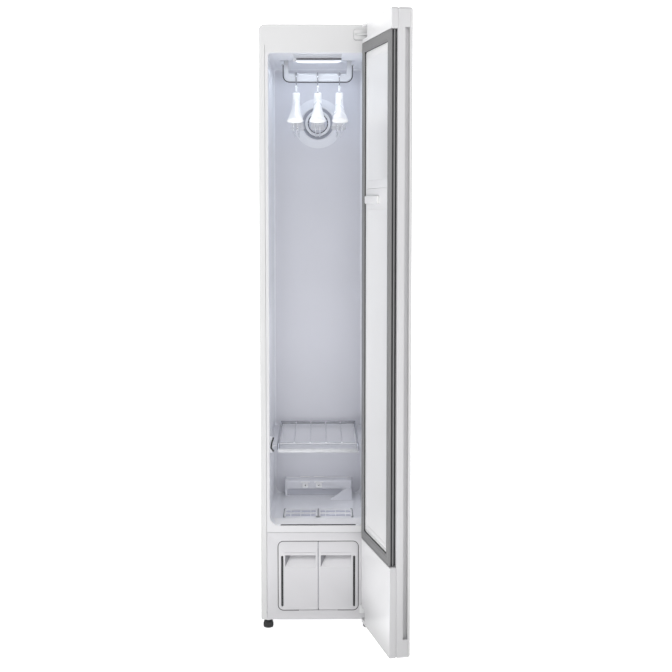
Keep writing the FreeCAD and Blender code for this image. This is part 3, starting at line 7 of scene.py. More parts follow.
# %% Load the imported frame
import json
import math

import bmesh
import bpy
from mathutils import Matrix, Vector


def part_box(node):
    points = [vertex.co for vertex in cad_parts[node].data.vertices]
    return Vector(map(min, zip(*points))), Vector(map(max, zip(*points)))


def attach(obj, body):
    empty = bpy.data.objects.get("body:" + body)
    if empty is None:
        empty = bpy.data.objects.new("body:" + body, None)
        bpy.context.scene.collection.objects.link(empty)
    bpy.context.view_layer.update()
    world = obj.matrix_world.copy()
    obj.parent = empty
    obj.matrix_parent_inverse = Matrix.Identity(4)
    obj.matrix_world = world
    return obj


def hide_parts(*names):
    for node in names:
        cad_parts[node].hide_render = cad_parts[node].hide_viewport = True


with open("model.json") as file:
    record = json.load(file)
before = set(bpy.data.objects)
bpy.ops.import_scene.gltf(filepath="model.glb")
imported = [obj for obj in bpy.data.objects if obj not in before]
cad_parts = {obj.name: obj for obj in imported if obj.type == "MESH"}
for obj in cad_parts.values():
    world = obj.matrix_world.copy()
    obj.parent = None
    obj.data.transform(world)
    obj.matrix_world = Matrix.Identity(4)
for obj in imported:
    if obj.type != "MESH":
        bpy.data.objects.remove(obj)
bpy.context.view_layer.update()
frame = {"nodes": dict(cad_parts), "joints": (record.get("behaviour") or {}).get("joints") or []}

# %% [markdown]
# ## Where things are
# Later cells need a few places again and again, such as the planes of the cabinet's front and
# back. They are measured on the frame, so a change in the solids carries through.

# %% Places measured on the frame
MM = 0.001


def rounded(*values):
    """Measures cut to a tenth of a millimetre, for printing."""
    return [round(value, 4) for value in values]


panel_low, panel_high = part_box("side_panel_right")
front_y, back_y = panel_low.y, panel_high.y
liner_end_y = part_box("cavity_liner")[1].y
print("front, back and end of the cavity", rounded(front_y, back_y, liner_end_y))

# %% [markdown]
# ## Camera
# A product is often shot from far away with a longer lens, so that upright edges stay nearly
# parallel. This camera stands 3.9 m in front at chest height and looks slightly down. A small
# shift moves the picture without tilting the camera further, as a view camera's back does.

# %% Camera
camera_side, camera_height, camera_distance = 0.006, 1.307, 3.924
pitch_down, turn_right = math.radians(4.81), math.radians(0.715)
camera_data = bpy.data.cameras.new("studio_camera")
camera_data.lens = 69.37
camera_data.sensor_width = 36.0
camera_data.shift_y = -0.03
camera = bpy.data.objects.new("studio_camera", camera_data)
bpy.context.scene.collection.objects.link(camera)
camera.location = (camera_side, front_y - camera_distance, camera_height)
camera.rotation_euler = (math.pi / 2 - pitch_down, 0.0, -turn_right)
bpy.context.scene.camera = camera
print("camera at", rounded(*camera.location))

# %% [markdown]
# ## Small helpers for finishes
# Every finish starts from the same few steps: a noise that reads Object coordinates, a range that
# turns it into roughness, two close colours mixed by it, and a bump. Writing them once keeps each
# finish short and easy to compare.

# %% Nodes in one line
def feed(tree, socket, value):
    """Link another socket into an input, or set the input's own value."""
    if isinstance(value, bpy.types.NodeSocket):
        tree.links.new(value, socket)
    else:
        socket.default_value = value


def added(tree, kind, **given):
    """A new node. Small-letter names are its settings, names with a capital are its inputs."""
    node = tree.nodes.new(kind)
    for label, value in given.items():
        if label[0].islower():
            setattr(node, label, value)
        else:
            feed(tree, node.inputs[label.replace("_", " ")], value)
    return node


def shader_inputs(material):
    """The inputs of a material's shader."""
    return material.node_tree.nodes["Principled BSDF"].inputs


# %% Steps of a finish
def start_finish(name):
    """A new material with its node tree, its shader's inputs and Object coordinates."""
    material = bpy.data.materials.new(name)
    material.use_nodes = True
    tree = material.node_tree
    place = added(tree, "ShaderNodeTexCoord").outputs["Object"]
    return material, tree, shader_inputs(material), place


def noise(tree, place, scale, detail):
    """Soft noise with about this many features per metre."""
    return added(tree, "ShaderNodeTexNoise", Vector=place, Scale=scale, Detail=detail).outputs["Fac"]


def ranged(tree, value, low, high):
    """A noise value, which is mostly from 0.3 to 0.7, spread over a range."""
    return added(tree, "ShaderNodeMapRange", Value=value, From_Min=0.3, From_Max=0.7, To_Min=low,
                 To_Max=high).outputs["Result"]


def two_tone(tree, value, first, second):
    """Two colours mixed by a value."""
    return added(tree, "ShaderNodeMix", data_type="RGBA", Factor=value, A=(*first, 1.0),
                 B=(*second, 1.0)).outputs["Result"]


def add_bump(tree, shader, height, strength, depth):
    """Raise the surface by a height value."""
    bump = added(tree, "ShaderNodeBump", Strength=strength, Distance=depth, Height=height)
    feed(tree, shader["Normal"], bump.outputs["Normal"])


def shade(colour, factor):
    """A colour made lighter or darker."""
    return tuple(min(1.0, c * factor) for c in colour)


def painted_low_shade(tree, place, tone, share, reach):
    """A colour darkened towards the floor: painted shade on the low parts."""
    height = added(tree, "ShaderNodeSeparateXYZ", Vector=place).outputs["Z"]
    low_shade = added(tree, "ShaderNodeMapRange", interpolation_type="SMOOTHSTEP", Value=height, From_Max=reach,
                 To_Min=share).outputs["Result"]
    return added(tree, "ShaderNodeMix", data_type="RGBA", blend_type="MULTIPLY", Factor=1.0, A=tone,
                 B=low_shade).outputs["Result"]


# %% Two families of finish
drift_scale, patch_scale = 4.0, 11.0
grain_depth, mark_depth = 0.03 * MM, 0.1 * MM
gloss_drift = 0.015


def moulded(name, colour, rough, grain, grain_strength, vary, coat=0.0, low_share=1.0, low_reach=0.40):
    """Moulded or painted surface: slow colour drift, slightly uneven gloss and a fine grain."""
    material, tree, shader, place = start_finish(name)
    drift = ranged(tree, noise(tree, place, drift_scale, 1.5), 0.0, 1.0)
    tone = two_tone(tree, drift, shade(colour, 1.0 - vary / 2), shade(colour, 1.0 + vary / 2))
    # painted shade: the colour darkens towards the floor when low_share is below one
    if low_share < 1.0:
        tone = painted_low_shade(tree, place, tone, low_share, low_reach)
    feed(tree, shader["Base Color"], tone)
    patches = noise(tree, place, patch_scale, 1.0)
    feed(tree, shader["Roughness"], ranged(tree, patches, rough - gloss_drift, rough + gloss_drift))
    add_bump(tree, shader, noise(tree, place, grain, 1.0), grain_strength, grain_depth)
    shader["Coat Weight"].default_value = coat
    shader["Coat Roughness"].default_value = 0.08
    return material


def metal(name, colour, rough, streak, scale, along=None):
    """Bare or plated metal, with drawing marks along one axis when asked."""
    material, tree, shader, place = start_finish(name)
    shader["Metallic"].default_value = 1.0
    if along:
        place = added(tree, "ShaderNodeMapping", Vector=place, Scale=along).outputs["Vector"]
    marks = noise(tree, place, scale, 4.0)
    tone = two_tone(tree, ranged(tree, marks, 0.0, 1.0), shade(colour, 0.9), shade(colour, 1.05))
    feed(tree, shader["Base Color"], tone)
    feed(tree, shader["Roughness"], ranged(tree, marks, rough - 0.06, rough + 0.08))
    add_bump(tree, shader, marks, streak, mark_depth)
    return material

# %% [markdown]
# ## White finishes
# A white appliance has several whites: powder-coated steel with a slight orange peel, satin
# mouldings, a glossy door, and a cool pale liner. They differ in gloss and grain more than in
# colour, and that difference is what stops a white object from looking like plaster.

# %% White finishes
# Where low_share is below one, the finish carries painted shade towards the floor.
casing_coat = moulded("casing_coat", (0.655, 0.655, 0.658), 0.34, 420.0, 0.10, 0.02, low_share=0.82)
cap_satin = moulded("cap_satin", (0.645, 0.645, 0.65), 0.30, 900.0, 0.06, 0.02)
front_satin = moulded("front_satin", (0.62, 0.615, 0.635), 0.36, 1100.0, 0.08, 0.025, low_share=0.78,
                      low_reach=0.25)
# painted light and painted shadow for the tank grips: a lighter copy of front_satin for the scoop, a dark grey for
# the cheek
grip_painted_light = moulded("grip_painted_light", (0.72, 0.715, 0.735), 0.36, 1100.0, 0.08, 0.025)
cheek_painted_shadow = moulded("cheek_painted_shadow", (0.27, 0.27, 0.29), 0.40, 1100.0, 0.08, 0.025)
door_gloss = moulded("door_gloss", (0.79, 0.79, 0.795), 0.30, 260.0, 0.02, 0.015, coat=0.12)
door_panel_white = moulded("door_panel_white", (0.64, 0.64, 0.645), 0.22, 260.0, 0.03, 0.02, coat=0.3,
                           low_share=0.75)
door_satin = moulded("door_satin", (0.58, 0.578, 0.59), 0.30, 900.0, 0.05, 0.02, coat=0.15, low_share=0.80)
door_border = moulded("door_border", (0.82, 0.82, 0.83), 0.30, 260.0, 0.02, 0.015, coat=0.12,
                      low_share=0.40, low_reach=0.17)
# painted shade: darker copies of the liner's finish for its front lip and its back wall
flange_painted_shade = moulded("flange_painted_shade", (0.66, 0.66, 0.675), 0.32, 900.0, 0.06, 0.02)
liner_cool = moulded("liner_cool", (0.89, 0.90, 0.935), 0.30, 700.0, 0.06, 0.03)
liner_back_painted_shade = moulded("liner_back_painted_shade", (0.73, 0.735, 0.785), 0.30, 700.0, 0.06, 0.03)
# painted shade: a darker copy of liner_cool for the shelf rails and the steam cover
liner_painted_shade = moulded("liner_painted_shade", (0.78, 0.785, 0.83), 0.34, 700.0, 0.06, 0.03)
hanger_shell = moulded("hanger_shell", (0.87, 0.88, 0.90), 0.28, 1200.0, 0.05, 0.02, coat=0.2)
filter_shell = moulded("filter_shell", (0.90, 0.905, 0.93), 0.38, 1300.0, 0.10, 0.03)
print("finishes so far", len(bpy.data.materials))

# %% [markdown]
# ## Greys, blacks and metals
# Hidden sheet is galvanised, rods are ground steel, the shelf is chromed wire, and machine parts
# are black enamel or grey mouldings. Drawn metal has marks along its length only, so its noise is
# stretched along that axis.

# %% Greys, blacks and metals
bay_grey = moulded("bay_grey", (0.09, 0.09, 0.10), 0.42, 1000.0, 0.12, 0.05)
vent_grey = moulded("vent_grey", (0.60, 0.61, 0.67), 0.34, 900.0, 0.08, 0.04)
drive_grey = moulded("drive_grey", (0.20, 0.205, 0.22), 0.45, 800.0, 0.15, 0.06)
machine_black = moulded("machine_black", (0.018, 0.018, 0.02), 0.30, 500.0, 0.10, 0.10, coat=0.3)
bush_black = moulded("bush_black", (0.012, 0.012, 0.013), 0.38, 900.0, 0.10, 0.08)
foot_black = moulded("foot_black", (0.014, 0.014, 0.015), 0.52, 700.0, 0.30, 0.15)
fan_dark = moulded("fan_dark", (0.05, 0.052, 0.058), 0.36, 900.0, 0.10, 0.08)
bracket_coat = moulded("bracket_coat", (0.62, 0.625, 0.63), 0.34, 450.0, 0.12, 0.04)
board_green = moulded("board_green", (0.015, 0.085, 0.035), 0.30, 500.0, 0.10, 0.12, coat=0.4)
trim_dark = moulded("trim_dark", (0.035, 0.035, 0.042), 0.40, 900.0, 0.15, 0.08)
chrome_wire = metal("chrome_wire", (0.46, 0.47, 0.50), 0.10, 0.04, 350.0)
rail_steel = metal("rail_steel", (0.80, 0.81, 0.84), 0.25, 0.04, 350.0)
hook_steel = metal("hook_steel", (0.40, 0.40, 0.42), 0.22, 0.05, 400.0)
ground_rod = metal("ground_rod", (0.62, 0.62, 0.63), 0.24, 0.10, 2500.0, along=(0.05, 1.0, 1.0))
fin_metal = metal("fin_metal", (0.55, 0.56, 0.575), 0.30, 0.15, 900.0, along=(1.0, 1.0, 0.08))
print("finishes so far", len(bpy.data.materials))

# %% [markdown]
# ## Finishes for the solids
# A solid whose shape is already right stays as it is and only gets a finish. Later pieces stand in
# for the other solids, so any finish does for those.

# %% Finishes for the solids
solids_by_finish = (
    (casing_coat, "side_panel_left side_panel_right"), (cap_satin, "top_cap"),
    (liner_cool, "cavity_liner"), (fin_metal, "rear_panel base_plate drive_chassis heat_exchangers"),
    (bay_grey, "tank_bay"), (ground_rod, "guide_rods press_pins"), (bush_black, "cord_gland hinge_bushes"),
    (machine_black, "fan_motor water_pumps compressor"), (board_green, "touch_board"),
    (drive_grey, "air_duct drive_unit bar_carriage steam_generator heat_pump_case control_case"),
)
finish_of = {node: finish for finish, nodes in solids_by_finish for node in nodes.split()}


def dress(mesh, *finishes):
    """Give a mesh its finishes, with every face on the first."""
    mesh.materials.clear()
    for finish in finishes:
        mesh.materials.append(finish)
    mesh.polygons.foreach_set("material_index", [0] * len(mesh.polygons))


for node, solid in frame["nodes"].items():
    dress(solid.data, finish_of.get(node, casing_coat))
tub = frame["nodes"]["cavity_liner"].data
# painted shade: faces toward the front take a darker copy, on the lip and on the back wall
dress(tub, liner_cool, flange_painted_shade, liner_back_painted_shade)
flange_end_y = front_y + 0.002
for face in tub.polygons:
    if face.normal.y < -0.9:
        face.material_index = 1 if face.center.y < flange_end_y else 2
print("solids with a finish of their own", len(finish_of))

# %% [markdown]
# ## Helpers for pieces
# Most pieces below start in one of three ways: rings of points skinned into a shell, an outline
# turned about an axis, or a merged copy of a solid that gets soft edges. Each ends as a plain mesh
# at its place, and `add_piece` hands it to the frame.

# %% Meshes
smooth_angle, round_angle = math.radians(32), math.radians(50)
merge_reach = 1e-6


def smooth_by_angle(mesh, angle):
    """Smooth shading that keeps every edge sharper than an angle."""
    mesh.polygons.foreach_set("use_smooth", [True] * len(mesh.polygons))
    mesh.set_sharp_from_angle(angle=angle)
    return mesh


def as_mesh(bm, name, angle=smooth_angle):
    """Turn a bmesh into a mesh with outward faces and sensible smoothing."""
    bmesh.ops.remove_doubles(bm, verts=bm.verts, dist=merge_reach)
    bmesh.ops.recalc_face_normals(bm, faces=bm.faces)
    mesh = bpy.data.meshes.new(name)
    bm.to_mesh(mesh)
    bm.free()
    return smooth_by_angle(mesh, angle)


def painted(bm, name, finish, angle=smooth_angle):
    """A bmesh as a mesh with one finish."""
    mesh = as_mesh(bm, name, angle)
    mesh.materials.append(finish)
    return mesh


# %% Shells and turned shapes
def skinned(rings, closed=False):
    """A shell of quads over rings with equal point counts, with both ends capped unless closed."""
    bm = bmesh.new()
    rows = [[bm.verts.new(point) for point in ring] for ring in rings]
    for first, second in zip(rows, rows[1:] + rows[:1] if closed else rows[1:]):
        for i in range(len(first)):
            j = (i + 1) % len(first)
            bm.faces.new((first[i], first[j], second[j], second[i]))
    if not closed:
        bm.faces.new(rows[0][::-1])
        bm.faces.new(rows[-1])
    return bm


def compass(steps):
    """Cosine and sine of equal steps round a circle."""
    angles = [2 * math.pi * step / steps for step in range(steps)]
    return [(math.cos(angle), math.sin(angle)) for angle in angles]


def turned(outline, centre, axis, steps):
    """Turn a closed outline of (radius, along) points about an axis through a centre."""
    rings = []
    for c, s in compass(steps):
        ring = [(r * c, along, r * s) if axis == "Y" else (r * c, r * s, along) for r, along in outline]
        rings.append([Vector(centre) + Vector(point) for point in ring])
    bm = skinned(rings, closed=True)
    bmesh.ops.remove_doubles(bm, verts=bm.verts, dist=merge_reach)
    bmesh.ops.dissolve_degenerate(bm, dist=merge_reach / 10, edges=bm.edges)
    return bm


# %% Millimetres and blocks
def in_mm(points):
    """Points given in millimetres, as metres."""
    return [tuple(value * MM for value in point) for point in points]


def bevelled_box(low, high, soft, segments=1):
    """A block between two corners with soft edges."""
    size = Vector(high) - Vector(low)
    middle = (Vector(high) + Vector(low)) / 2
    bm = bmesh.new()
    bmesh.ops.create_cube(bm, size=1.0, matrix=Matrix.Translation(middle) @ Matrix.Diagonal((*size, 1.0)))
    bmesh.ops.bevel(bm, geom=bm.edges, offset=soft, segments=segments, affect="EDGES")
    return bm


def block(name, low, high, soft, finish, segments=1):
    """A soft-edged block between two corners, with one finish."""
    return painted(bevelled_box(low, high, soft, segments), name, finish)


def joined(*parts):
    """Several bmeshes in one."""
    whole = bmesh.new()
    for part in parts:
        step = bpy.data.meshes.new("step")
        part.to_mesh(step)
        part.free()
        whole.from_mesh(step)
        bpy.data.meshes.remove(step)
    return whole


# %% Soft edges on a copy of a solid
def merged_copy(node):
    """A copy of a solid's mesh with its loose triangles merged into whole flat faces."""
    bm = bmesh.new()
    bm.from_mesh(frame["nodes"][node].data)
    bmesh.ops.remove_doubles(bm, verts=bm.verts, dist=2 * merge_reach)
    bmesh.ops.dissolve_limit(bm, angle_limit=math.radians(0.3), verts=bm.verts, edges=bm.edges)
    return bm


def soft_copy(node, width, finish):
    """A copy of a solid with every sharp edge rounded, as a mould or a press would leave it."""
    bm = merged_copy(node)
    sharp = [e for e in bm.edges if len(e.link_faces) == 2 and e.calc_face_angle(0.0) > math.radians(40)]
    bmesh.ops.bevel(bm, geom=sharp, offset=width, segments=2, profile=0.6, affect="EDGES",
                    clamp_overlap=False, miter_outer="SHARP")
    return painted(bm, node, finish)


# %% Handing a piece to the frame
def meshes_joined(name, meshes):
    """Several plain meshes in one, each keeping its own finish."""
    finishes = []
    whole = bmesh.new()
    for mesh in meshes:
        first = len(whole.faces)
        whole.from_mesh(mesh)
        whole.faces.ensure_lookup_table()
        own = list(mesh.materials)
        for face in whole.faces[first:]:
            finish = own[min(face.material_index, len(own) - 1)]
            if finish not in finishes:
                finishes.append(finish)
            face.material_index = finishes.index(finish)
    result = bpy.data.meshes.new(name)
    whole.to_mesh(result)
    whole.free()
    return result, finishes


def add_piece(name, mesh, body, finishes, nodes):
    """Make an object of a mesh, give it its finishes and let it ride on its body."""
    piece = bpy.data.objects.new(name, mesh)
    bpy.context.scene.collection.objects.link(piece)
    kept = [face.material_index for face in mesh.polygons]
    dress(mesh, *finishes)
    mesh.polygons.foreach_set("material_index", kept)
    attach(piece, body)
    if nodes:
        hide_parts(*nodes)
    print(name, len(mesh.polygons), "faces on", body)
    return piece


def add_joined(name, body, meshes, nodes=()):
    """Join meshes into one piece that keeps their finishes, and hand it to the frame."""
    mesh, finishes = meshes_joined(name, meshes)
    return add_piece(name, mesh, body, finishes, nodes)


def softened_piece(node, body, finish, width):
    """A solid's copy with soft edges, standing for the solid."""
    return add_piece(node + "_shell", soft_copy(node, width, finish), body, [finish], [node])


# %% [markdown]
# ## Geometry Nodes helpers
# What repeats or follows a path is left to Geometry Nodes: one tree sweeps a round rod along a bent
# path, one repeats a shape in a row and one round a circle. Their sizes are named inputs, so each
# tree serves several pieces. The result is then made a plain mesh.

# %% A tree with named inputs
socket_kinds = {"Count": "Int", "Sides": "Int", "Steps": "Int", "Step": "Vector", "Finish": "Material"}


def new_tree(name, labels):
    """A Geometry Nodes tree with a geometry input and a named input for each size."""
    tree = bpy.data.node_groups.new(name, "GeometryNodeTree")
    tree.interface.new_socket("Geometry", in_out="INPUT", socket_type="NodeSocketGeometry")
    for label in labels:
        kind = "NodeSocket" + socket_kinds.get(label, "Float")
        tree.interface.new_socket(label, in_out="INPUT", socket_type=kind)
    tree.interface.new_socket("Geometry", in_out="OUTPUT", socket_type="NodeSocketGeometry")
    return tree, tree.nodes.new("NodeGroupInput").outputs


def end_tree(tree, geometry, finish):
    """Make instances real, set the finish and close the tree."""
    real = added(tree, "GeometryNodeRealizeInstances", Geometry=geometry).outputs["Geometry"]
    paint = added(tree, "GeometryNodeSetMaterial", Geometry=real, Material=finish).outputs["Geometry"]
    added(tree, "NodeGroupOutput", Geometry=paint)
    return tree


def grown(tree, mesh, **sizes):
    """Run a tree on a mesh and return the result as a plain mesh."""
    holder = bpy.data.objects.new("holder", mesh)
    bpy.context.scene.collection.objects.link(holder)
    modifier = holder.modifiers.new("grow", "NODES")
    modifier.node_group = tree
    for item in tree.interface.items_tree:
        if item.in_out == "INPUT" and item.name in sizes:
            modifier[item.identifier] = sizes[item.name]
    result = bpy.data.meshes.new_from_object(holder.evaluated_get(bpy.context.evaluated_depsgraph_get()))
    holder.modifiers.remove(modifier)
    bpy.data.objects.remove(holder)
    return result


# %% Bent rods
def rod_tree():
    """Round rods swept along bent paths: a mesh's edges in, rods with bends and caps out."""
    tree, given = new_tree("bent_rods", ["Bend", "Steps", "Radius", "Sides", "Finish"])
    curve = added(tree, "GeometryNodeMeshToCurve", Mesh=given["Geometry"]).outputs["Curve"]
    fillet = added(tree, "GeometryNodeFilletCurve", mode="POLY", Curve=curve, Radius=given["Bend"],
                   Count=given["Steps"]).outputs["Curve"]
    circle = added(tree, "GeometryNodeCurvePrimitiveCircle", Resolution=given["Sides"],
                   Radius=given["Radius"]).outputs["Curve"]
    sweep = added(tree, "GeometryNodeCurveToMesh", Curve=fillet, Profile_Curve=circle,
                  Fill_Caps=True).outputs["Mesh"]
    smooth = added(tree, "GeometryNodeSetShadeSmooth", Geometry=sweep).outputs["Geometry"]
    return end_tree(tree, smooth, given["Finish"])


bent_rods = rod_tree()


def rods(paths, radius, finish, bend=0.0, sides=16, steps=8):
    """Rods of one radius along several paths of corner points."""
    points, edges = [], []
    for path in paths:
        first = len(points)
        points += [tuple(point) for point in path]
        edges += [(first + i, first + i + 1) for i in range(len(path) - 1)]
    mesh = bpy.data.meshes.new("paths")
    mesh.from_pydata(points, edges, [])
    return grown(bent_rods, mesh, Bend=bend, Steps=steps, Radius=radius, Sides=sides, Finish=finish)


# %% Rows and rings
def row_tree():
    """A shape repeated along a straight step."""
    tree, given = new_tree("row", ["Count", "Step", "Finish"])
    line = added(tree, "GeometryNodeMeshLine", Count=given["Count"], Offset=given["Step"]).outputs["Mesh"]
    spread = added(tree, "GeometryNodeInstanceOnPoints", Points=line, Instance=given["Geometry"])
    return end_tree(tree, spread.outputs["Instances"], given["Finish"])


def reckoned(tree, operation, first, second):
    """Two values combined by a sum, a product or a share."""
    node = added(tree, "ShaderNodeMath", operation=operation)
    feed(tree, node.inputs[0], first)
    feed(tree, node.inputs[1], second)
    return node.outputs[0]


def ring_tree():
    """A shape repeated round the Z axis."""
    tree, given = new_tree("ring", ["Count", "Finish"])
    line = added(tree, "GeometryNodeMeshLine", Count=given["Count"], Offset=(0.0, 0.0, 0.0)).outputs["Mesh"]
    index = added(tree, "GeometryNodeInputIndex").outputs["Index"]
    angle = reckoned(tree, "MULTIPLY", reckoned(tree, "DIVIDE", index, given["Count"]), 2 * math.pi)
    turn = added(tree, "ShaderNodeCombineXYZ", Z=angle).outputs["Vector"]
    spread = added(tree, "GeometryNodeInstanceOnPoints", Points=line, Instance=given["Geometry"],
                   Rotation=turn)
    return end_tree(tree, spread.outputs["Instances"], given["Finish"])


row, ring = row_tree(), ring_tree()


def laid_along_y(mesh, centre):
    """Turn a mesh made round Z so that its axis points to the front, and put it at its place."""
    mesh.transform(Matrix.Translation(centre) @ Matrix.Rotation(math.pi / 2, 4, "X"))
    return mesh


print("trees", [tree.name for tree in bpy.data.node_groups])

# %% [markdown]
# ## Hangers
# A steam cabinet's hangers have broad moulded shoulders, so that damp clothes keep their shape.
# Seen end-on each one is a bell: a straight neck that flares into the shoulder. The shoulder is
# lofted from sections that widen and fall, the neck is a rounded post, and a voxel remesh melts
# the two together as a blow mould would.

# %% Places of the hangers
bar_low, bar_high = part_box("bar_trim")
bar_y = (bar_low.y + bar_high.y) / 2
hanger_boxes = [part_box("hanger_body_%d" % number) for number in (1, 2, 3)]
hanger_x = [(low.x + high.x) / 2 for low, high in hanger_boxes]
hanger_low, hanger_high = hanger_boxes[0]
neck_top = hanger_high.z
arm_reach = (hanger_high.y - hanger_low.y) / 2
print("hangers at x", rounded(*hanger_x), "neck top", rounded(neck_top))

# %% Sections of a hanger
neck_half, neck_depth_share = 0.012, 1.08


def shoulder_section(x, offset, share, shrink=1.0):
    """One section across a shoulder: a crowned top that meets a shallow underside at an edge."""
    width = (0.0245 + 0.0265 * share ** 1.6) * shrink
    edge = neck_top - 0.034 - 0.066 * share
    crown = (0.016 - 0.004 * share) * shrink
    under = (0.014 - 0.006 * share) * shrink
    points = []
    for c, s in compass(36):
        rise = crown * (1 - abs(c)) ** 0.9 if s > 0 else -under * abs(s) ** 0.7
        side = width / 2 * abs(c) ** 0.8 * (1 if c > 0 else -1)
        points.append(Vector((x + side, bar_y + offset, edge + rise)))
    return points


def neck_section(x, z, grow):
    """One level of the neck: a rounded square."""
    points = []
    for c, s in compass(32):
        reach = (neck_half + grow) / (abs(c) ** 5 + abs(s) ** 5) ** 0.2
        points.append(Vector((x + reach * c, bar_y + neck_depth_share * reach * s, z)))
    return points


print("points in a section", len(shoulder_section(0.0, 0.0, 0.0)), "and", len(neck_section(0.0, 0.0, 0.0)))

# %% Hangers
arm_round = 0.003


def hanger_shape(x):
    """Neck and both shoulders of one hanger, still as two crossing shells."""
    steps = 22
    last = arm_reach - arm_round
    rings = [shoulder_section(x, step / steps * last, abs(step) / steps) for step in range(-steps, steps + 1)]
    for past, shrink in ((0.0016, 0.94), (0.0026, 0.80), (0.0030, 0.55)):
        rings.append(shoulder_section(x, last + past, 1.0, shrink))
        rings.insert(0, shoulder_section(x, -(last + past), 1.0, shrink))
    levels = in_mm([(-0.6, -2.2), (-2, -0.6), (-4, 0), (-16, 0), (-30, 0), (-42, 0.8), (-50, -3)])
    neck = [neck_section(x, neck_top + drop, grow) for drop, grow in levels]
    return joined(skinned(rings), skinned(neck))


def melted(mesh, voxel, rounds):
    """Melt crossing shells into one skin and smooth it."""
    holder = bpy.data.objects.new("melting", mesh)
    bpy.context.scene.collection.objects.link(holder)
    remesh = holder.modifiers.new("melt", "REMESH")
    remesh.mode = "VOXEL"
    remesh.voxel_size = voxel
    smooth = holder.modifiers.new("smooth", "SMOOTH")
    smooth.factor = 0.5
    smooth.iterations = rounds
    result = bpy.data.meshes.new_from_object(holder.evaluated_get(bpy.context.evaluated_depsgraph_get()))
    holder.modifiers.clear()
    bpy.data.objects.remove(holder)
    return smooth_by_angle(result, math.radians(60))


for number, x in enumerate(hanger_x, 1):
    shoulders = melted(as_mesh(hanger_shape(x), "hanger_shape"), voxel=1.8 * MM, rounds=5)
    add_piece("hanger_%d_shoulders" % number, shoulders, "hanger_%d" % number, [hanger_shell],
              ["hanger_body_%d" % number])

# %% [markdown]
# ## Hooks and trouser rails
# The hook is one steel wire: most of a circle round the bar, a bend back under its middle and a
# stem into the neck. Two U-shaped wires hang from the shoulders for trousers. All are rods swept
# along a path, and the small parts on the stem are turned.

# %% Path of the hook
hook_low, hook_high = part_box("hanger_hook_1")
hook_wire, rail_wire = 0.0017, 0.0019
hook_radius, hook_bend = 0.0183, 0.008
hook_middle = hook_high.z - 0.0020 - hook_radius
rail_gap, rail_inset, rail_drop = 0.0065, 0.034, 0.083
stem_end, bead_rise = 0.006, 0.017


def arc(centre, radius, angles):
    """Points at some angles on an upright circle that crosses the bar."""
    return [centre + radius * Vector((0, math.cos(angle), math.sin(angle))) for angle in angles]


def hook_path(x):
    """Points of the hook's wire, from its tip over the bar to the stem's end."""
    first, last = math.radians(-15), math.pi + math.acos(hook_bend / (hook_radius + hook_bend))
    centre = Vector((x, bar_y, hook_middle))
    points = arc(centre, hook_radius, [first + (last - first) * step / 24 for step in range(25)])
    turn = arc(centre, hook_radius + hook_bend, [last])[0]
    points += arc(turn, hook_bend, [(last - math.pi) * (1 - step / 8) for step in range(1, 9)])
    return points + [Vector((x, bar_y, neck_top - stem_end))]


print("hook radius", hook_radius, "points in its path", len(hook_path(0.0)))

# %% Hooks and rails
def stem_part(outline, place, finish, steps, angle=smooth_angle):
    """A small part turned about an upright axis, from an outline in millimetres."""
    return painted(turned(in_mm(outline), place, "Z", steps), "stem_part", finish, angle)


def hanger_wires(x):
    """Hook, trouser rails, bead, sleeve, ferrule and tip of one hanger."""
    path = hook_path(x)
    front, back = bar_y - (arm_reach - rail_inset), bar_y + (arm_reach - rail_inset)
    top, low = neck_top - rail_drop, hook_low.z + rail_wire
    rails = [[(x + side, front, top), (x + side, front, low), (x + side, back, low), (x + side, back, top)]
             for side in (-rail_gap, rail_gap)]
    return [
        rods([path], hook_wire, hook_steel, sides=14),
        rods(rails, rail_wire, rail_steel, bend=0.008, sides=12),
        stem_part([(0, -4), (2.94, -3.4), (4.2, -1.4), (4.2, 1.4), (2.94, 3.4), (0, 4)],
                  (x, bar_y, neck_top + bead_rise), hanger_shell, 24, round_angle),
        stem_part([(0, 0), (2.6, 0), (2.6, 26), (2.1, 27.5), (0, 27.5)], (x, bar_y, neck_top), hanger_shell, 20),
        stem_part([(0, -2), (5.2, -2), (5.2, 0.8), (3.8, 2.2), (0, 2.2)], (x, bar_y, neck_top), ground_rod, 24),
        stem_part([(0, -2.4), (1.7, -1.7), (2.4, 0), (1.7, 1.7), (0, 2.4)], path[0], bush_black, 16, round_angle),
    ]


for number, x in enumerate(hanger_x, 1):
    add_joined("hanger_%d_wires" % number, "hanger_%d" % number, hanger_wires(x),
               ["hanger_hook_%d" % number])

# %% [markdown]
# ## Hanger bar
# The bar is a white U-shaped moulding on two legs, with small collars that keep each hook in its
# place. Its edges are softened on a copy of the solid. The dark bead round its outside is a rod
# swept along the same U, with a bright peg at each end.

# %% Hanger bar and its trim
bar_white = moulded("bar_white", (0.57, 0.58, 0.61), 0.32, 1100.0, 0.05, 0.02)
softened_piece("hanger_bar", "bar", bar_white, 0.0009)

trim, peg = 0.0016, 0.0023
bar_end, peg_past, trim_bend = bar_high.x - 0.006, 0.004, 0.0208
trim_top, trim_side, peg_end = bar_high.z - trim, bar_end - trim, bar_end + peg_past
left_top, right_top = (-trim_side, bar_y, trim_top), (trim_side, bar_y, trim_top)
u_path = [left_top, (-trim_side, bar_y, bar_low.z + trim), (trim_side, bar_y, bar_low.z + trim), right_top]
dark_bead = rods([u_path], trim, trim_dark, bend=trim_bend, sides=14, steps=12)
pegs = rods([[(-peg_end, bar_y, trim_top), left_top], [right_top, (peg_end, bar_y, trim_top)]], peg, cap_satin)
add_joined("bar_trim_bead", "bar", [dark_bead, pegs], ["bar_trim"])

# %% [markdown]
# ## Ceiling lamp
# The lamp is a milky lens over a strip of light-emitting diodes. The lens glows evenly, so it is
# one smooth bar with tapered ends whose finish gives light, and it hangs from a flat grey housing.

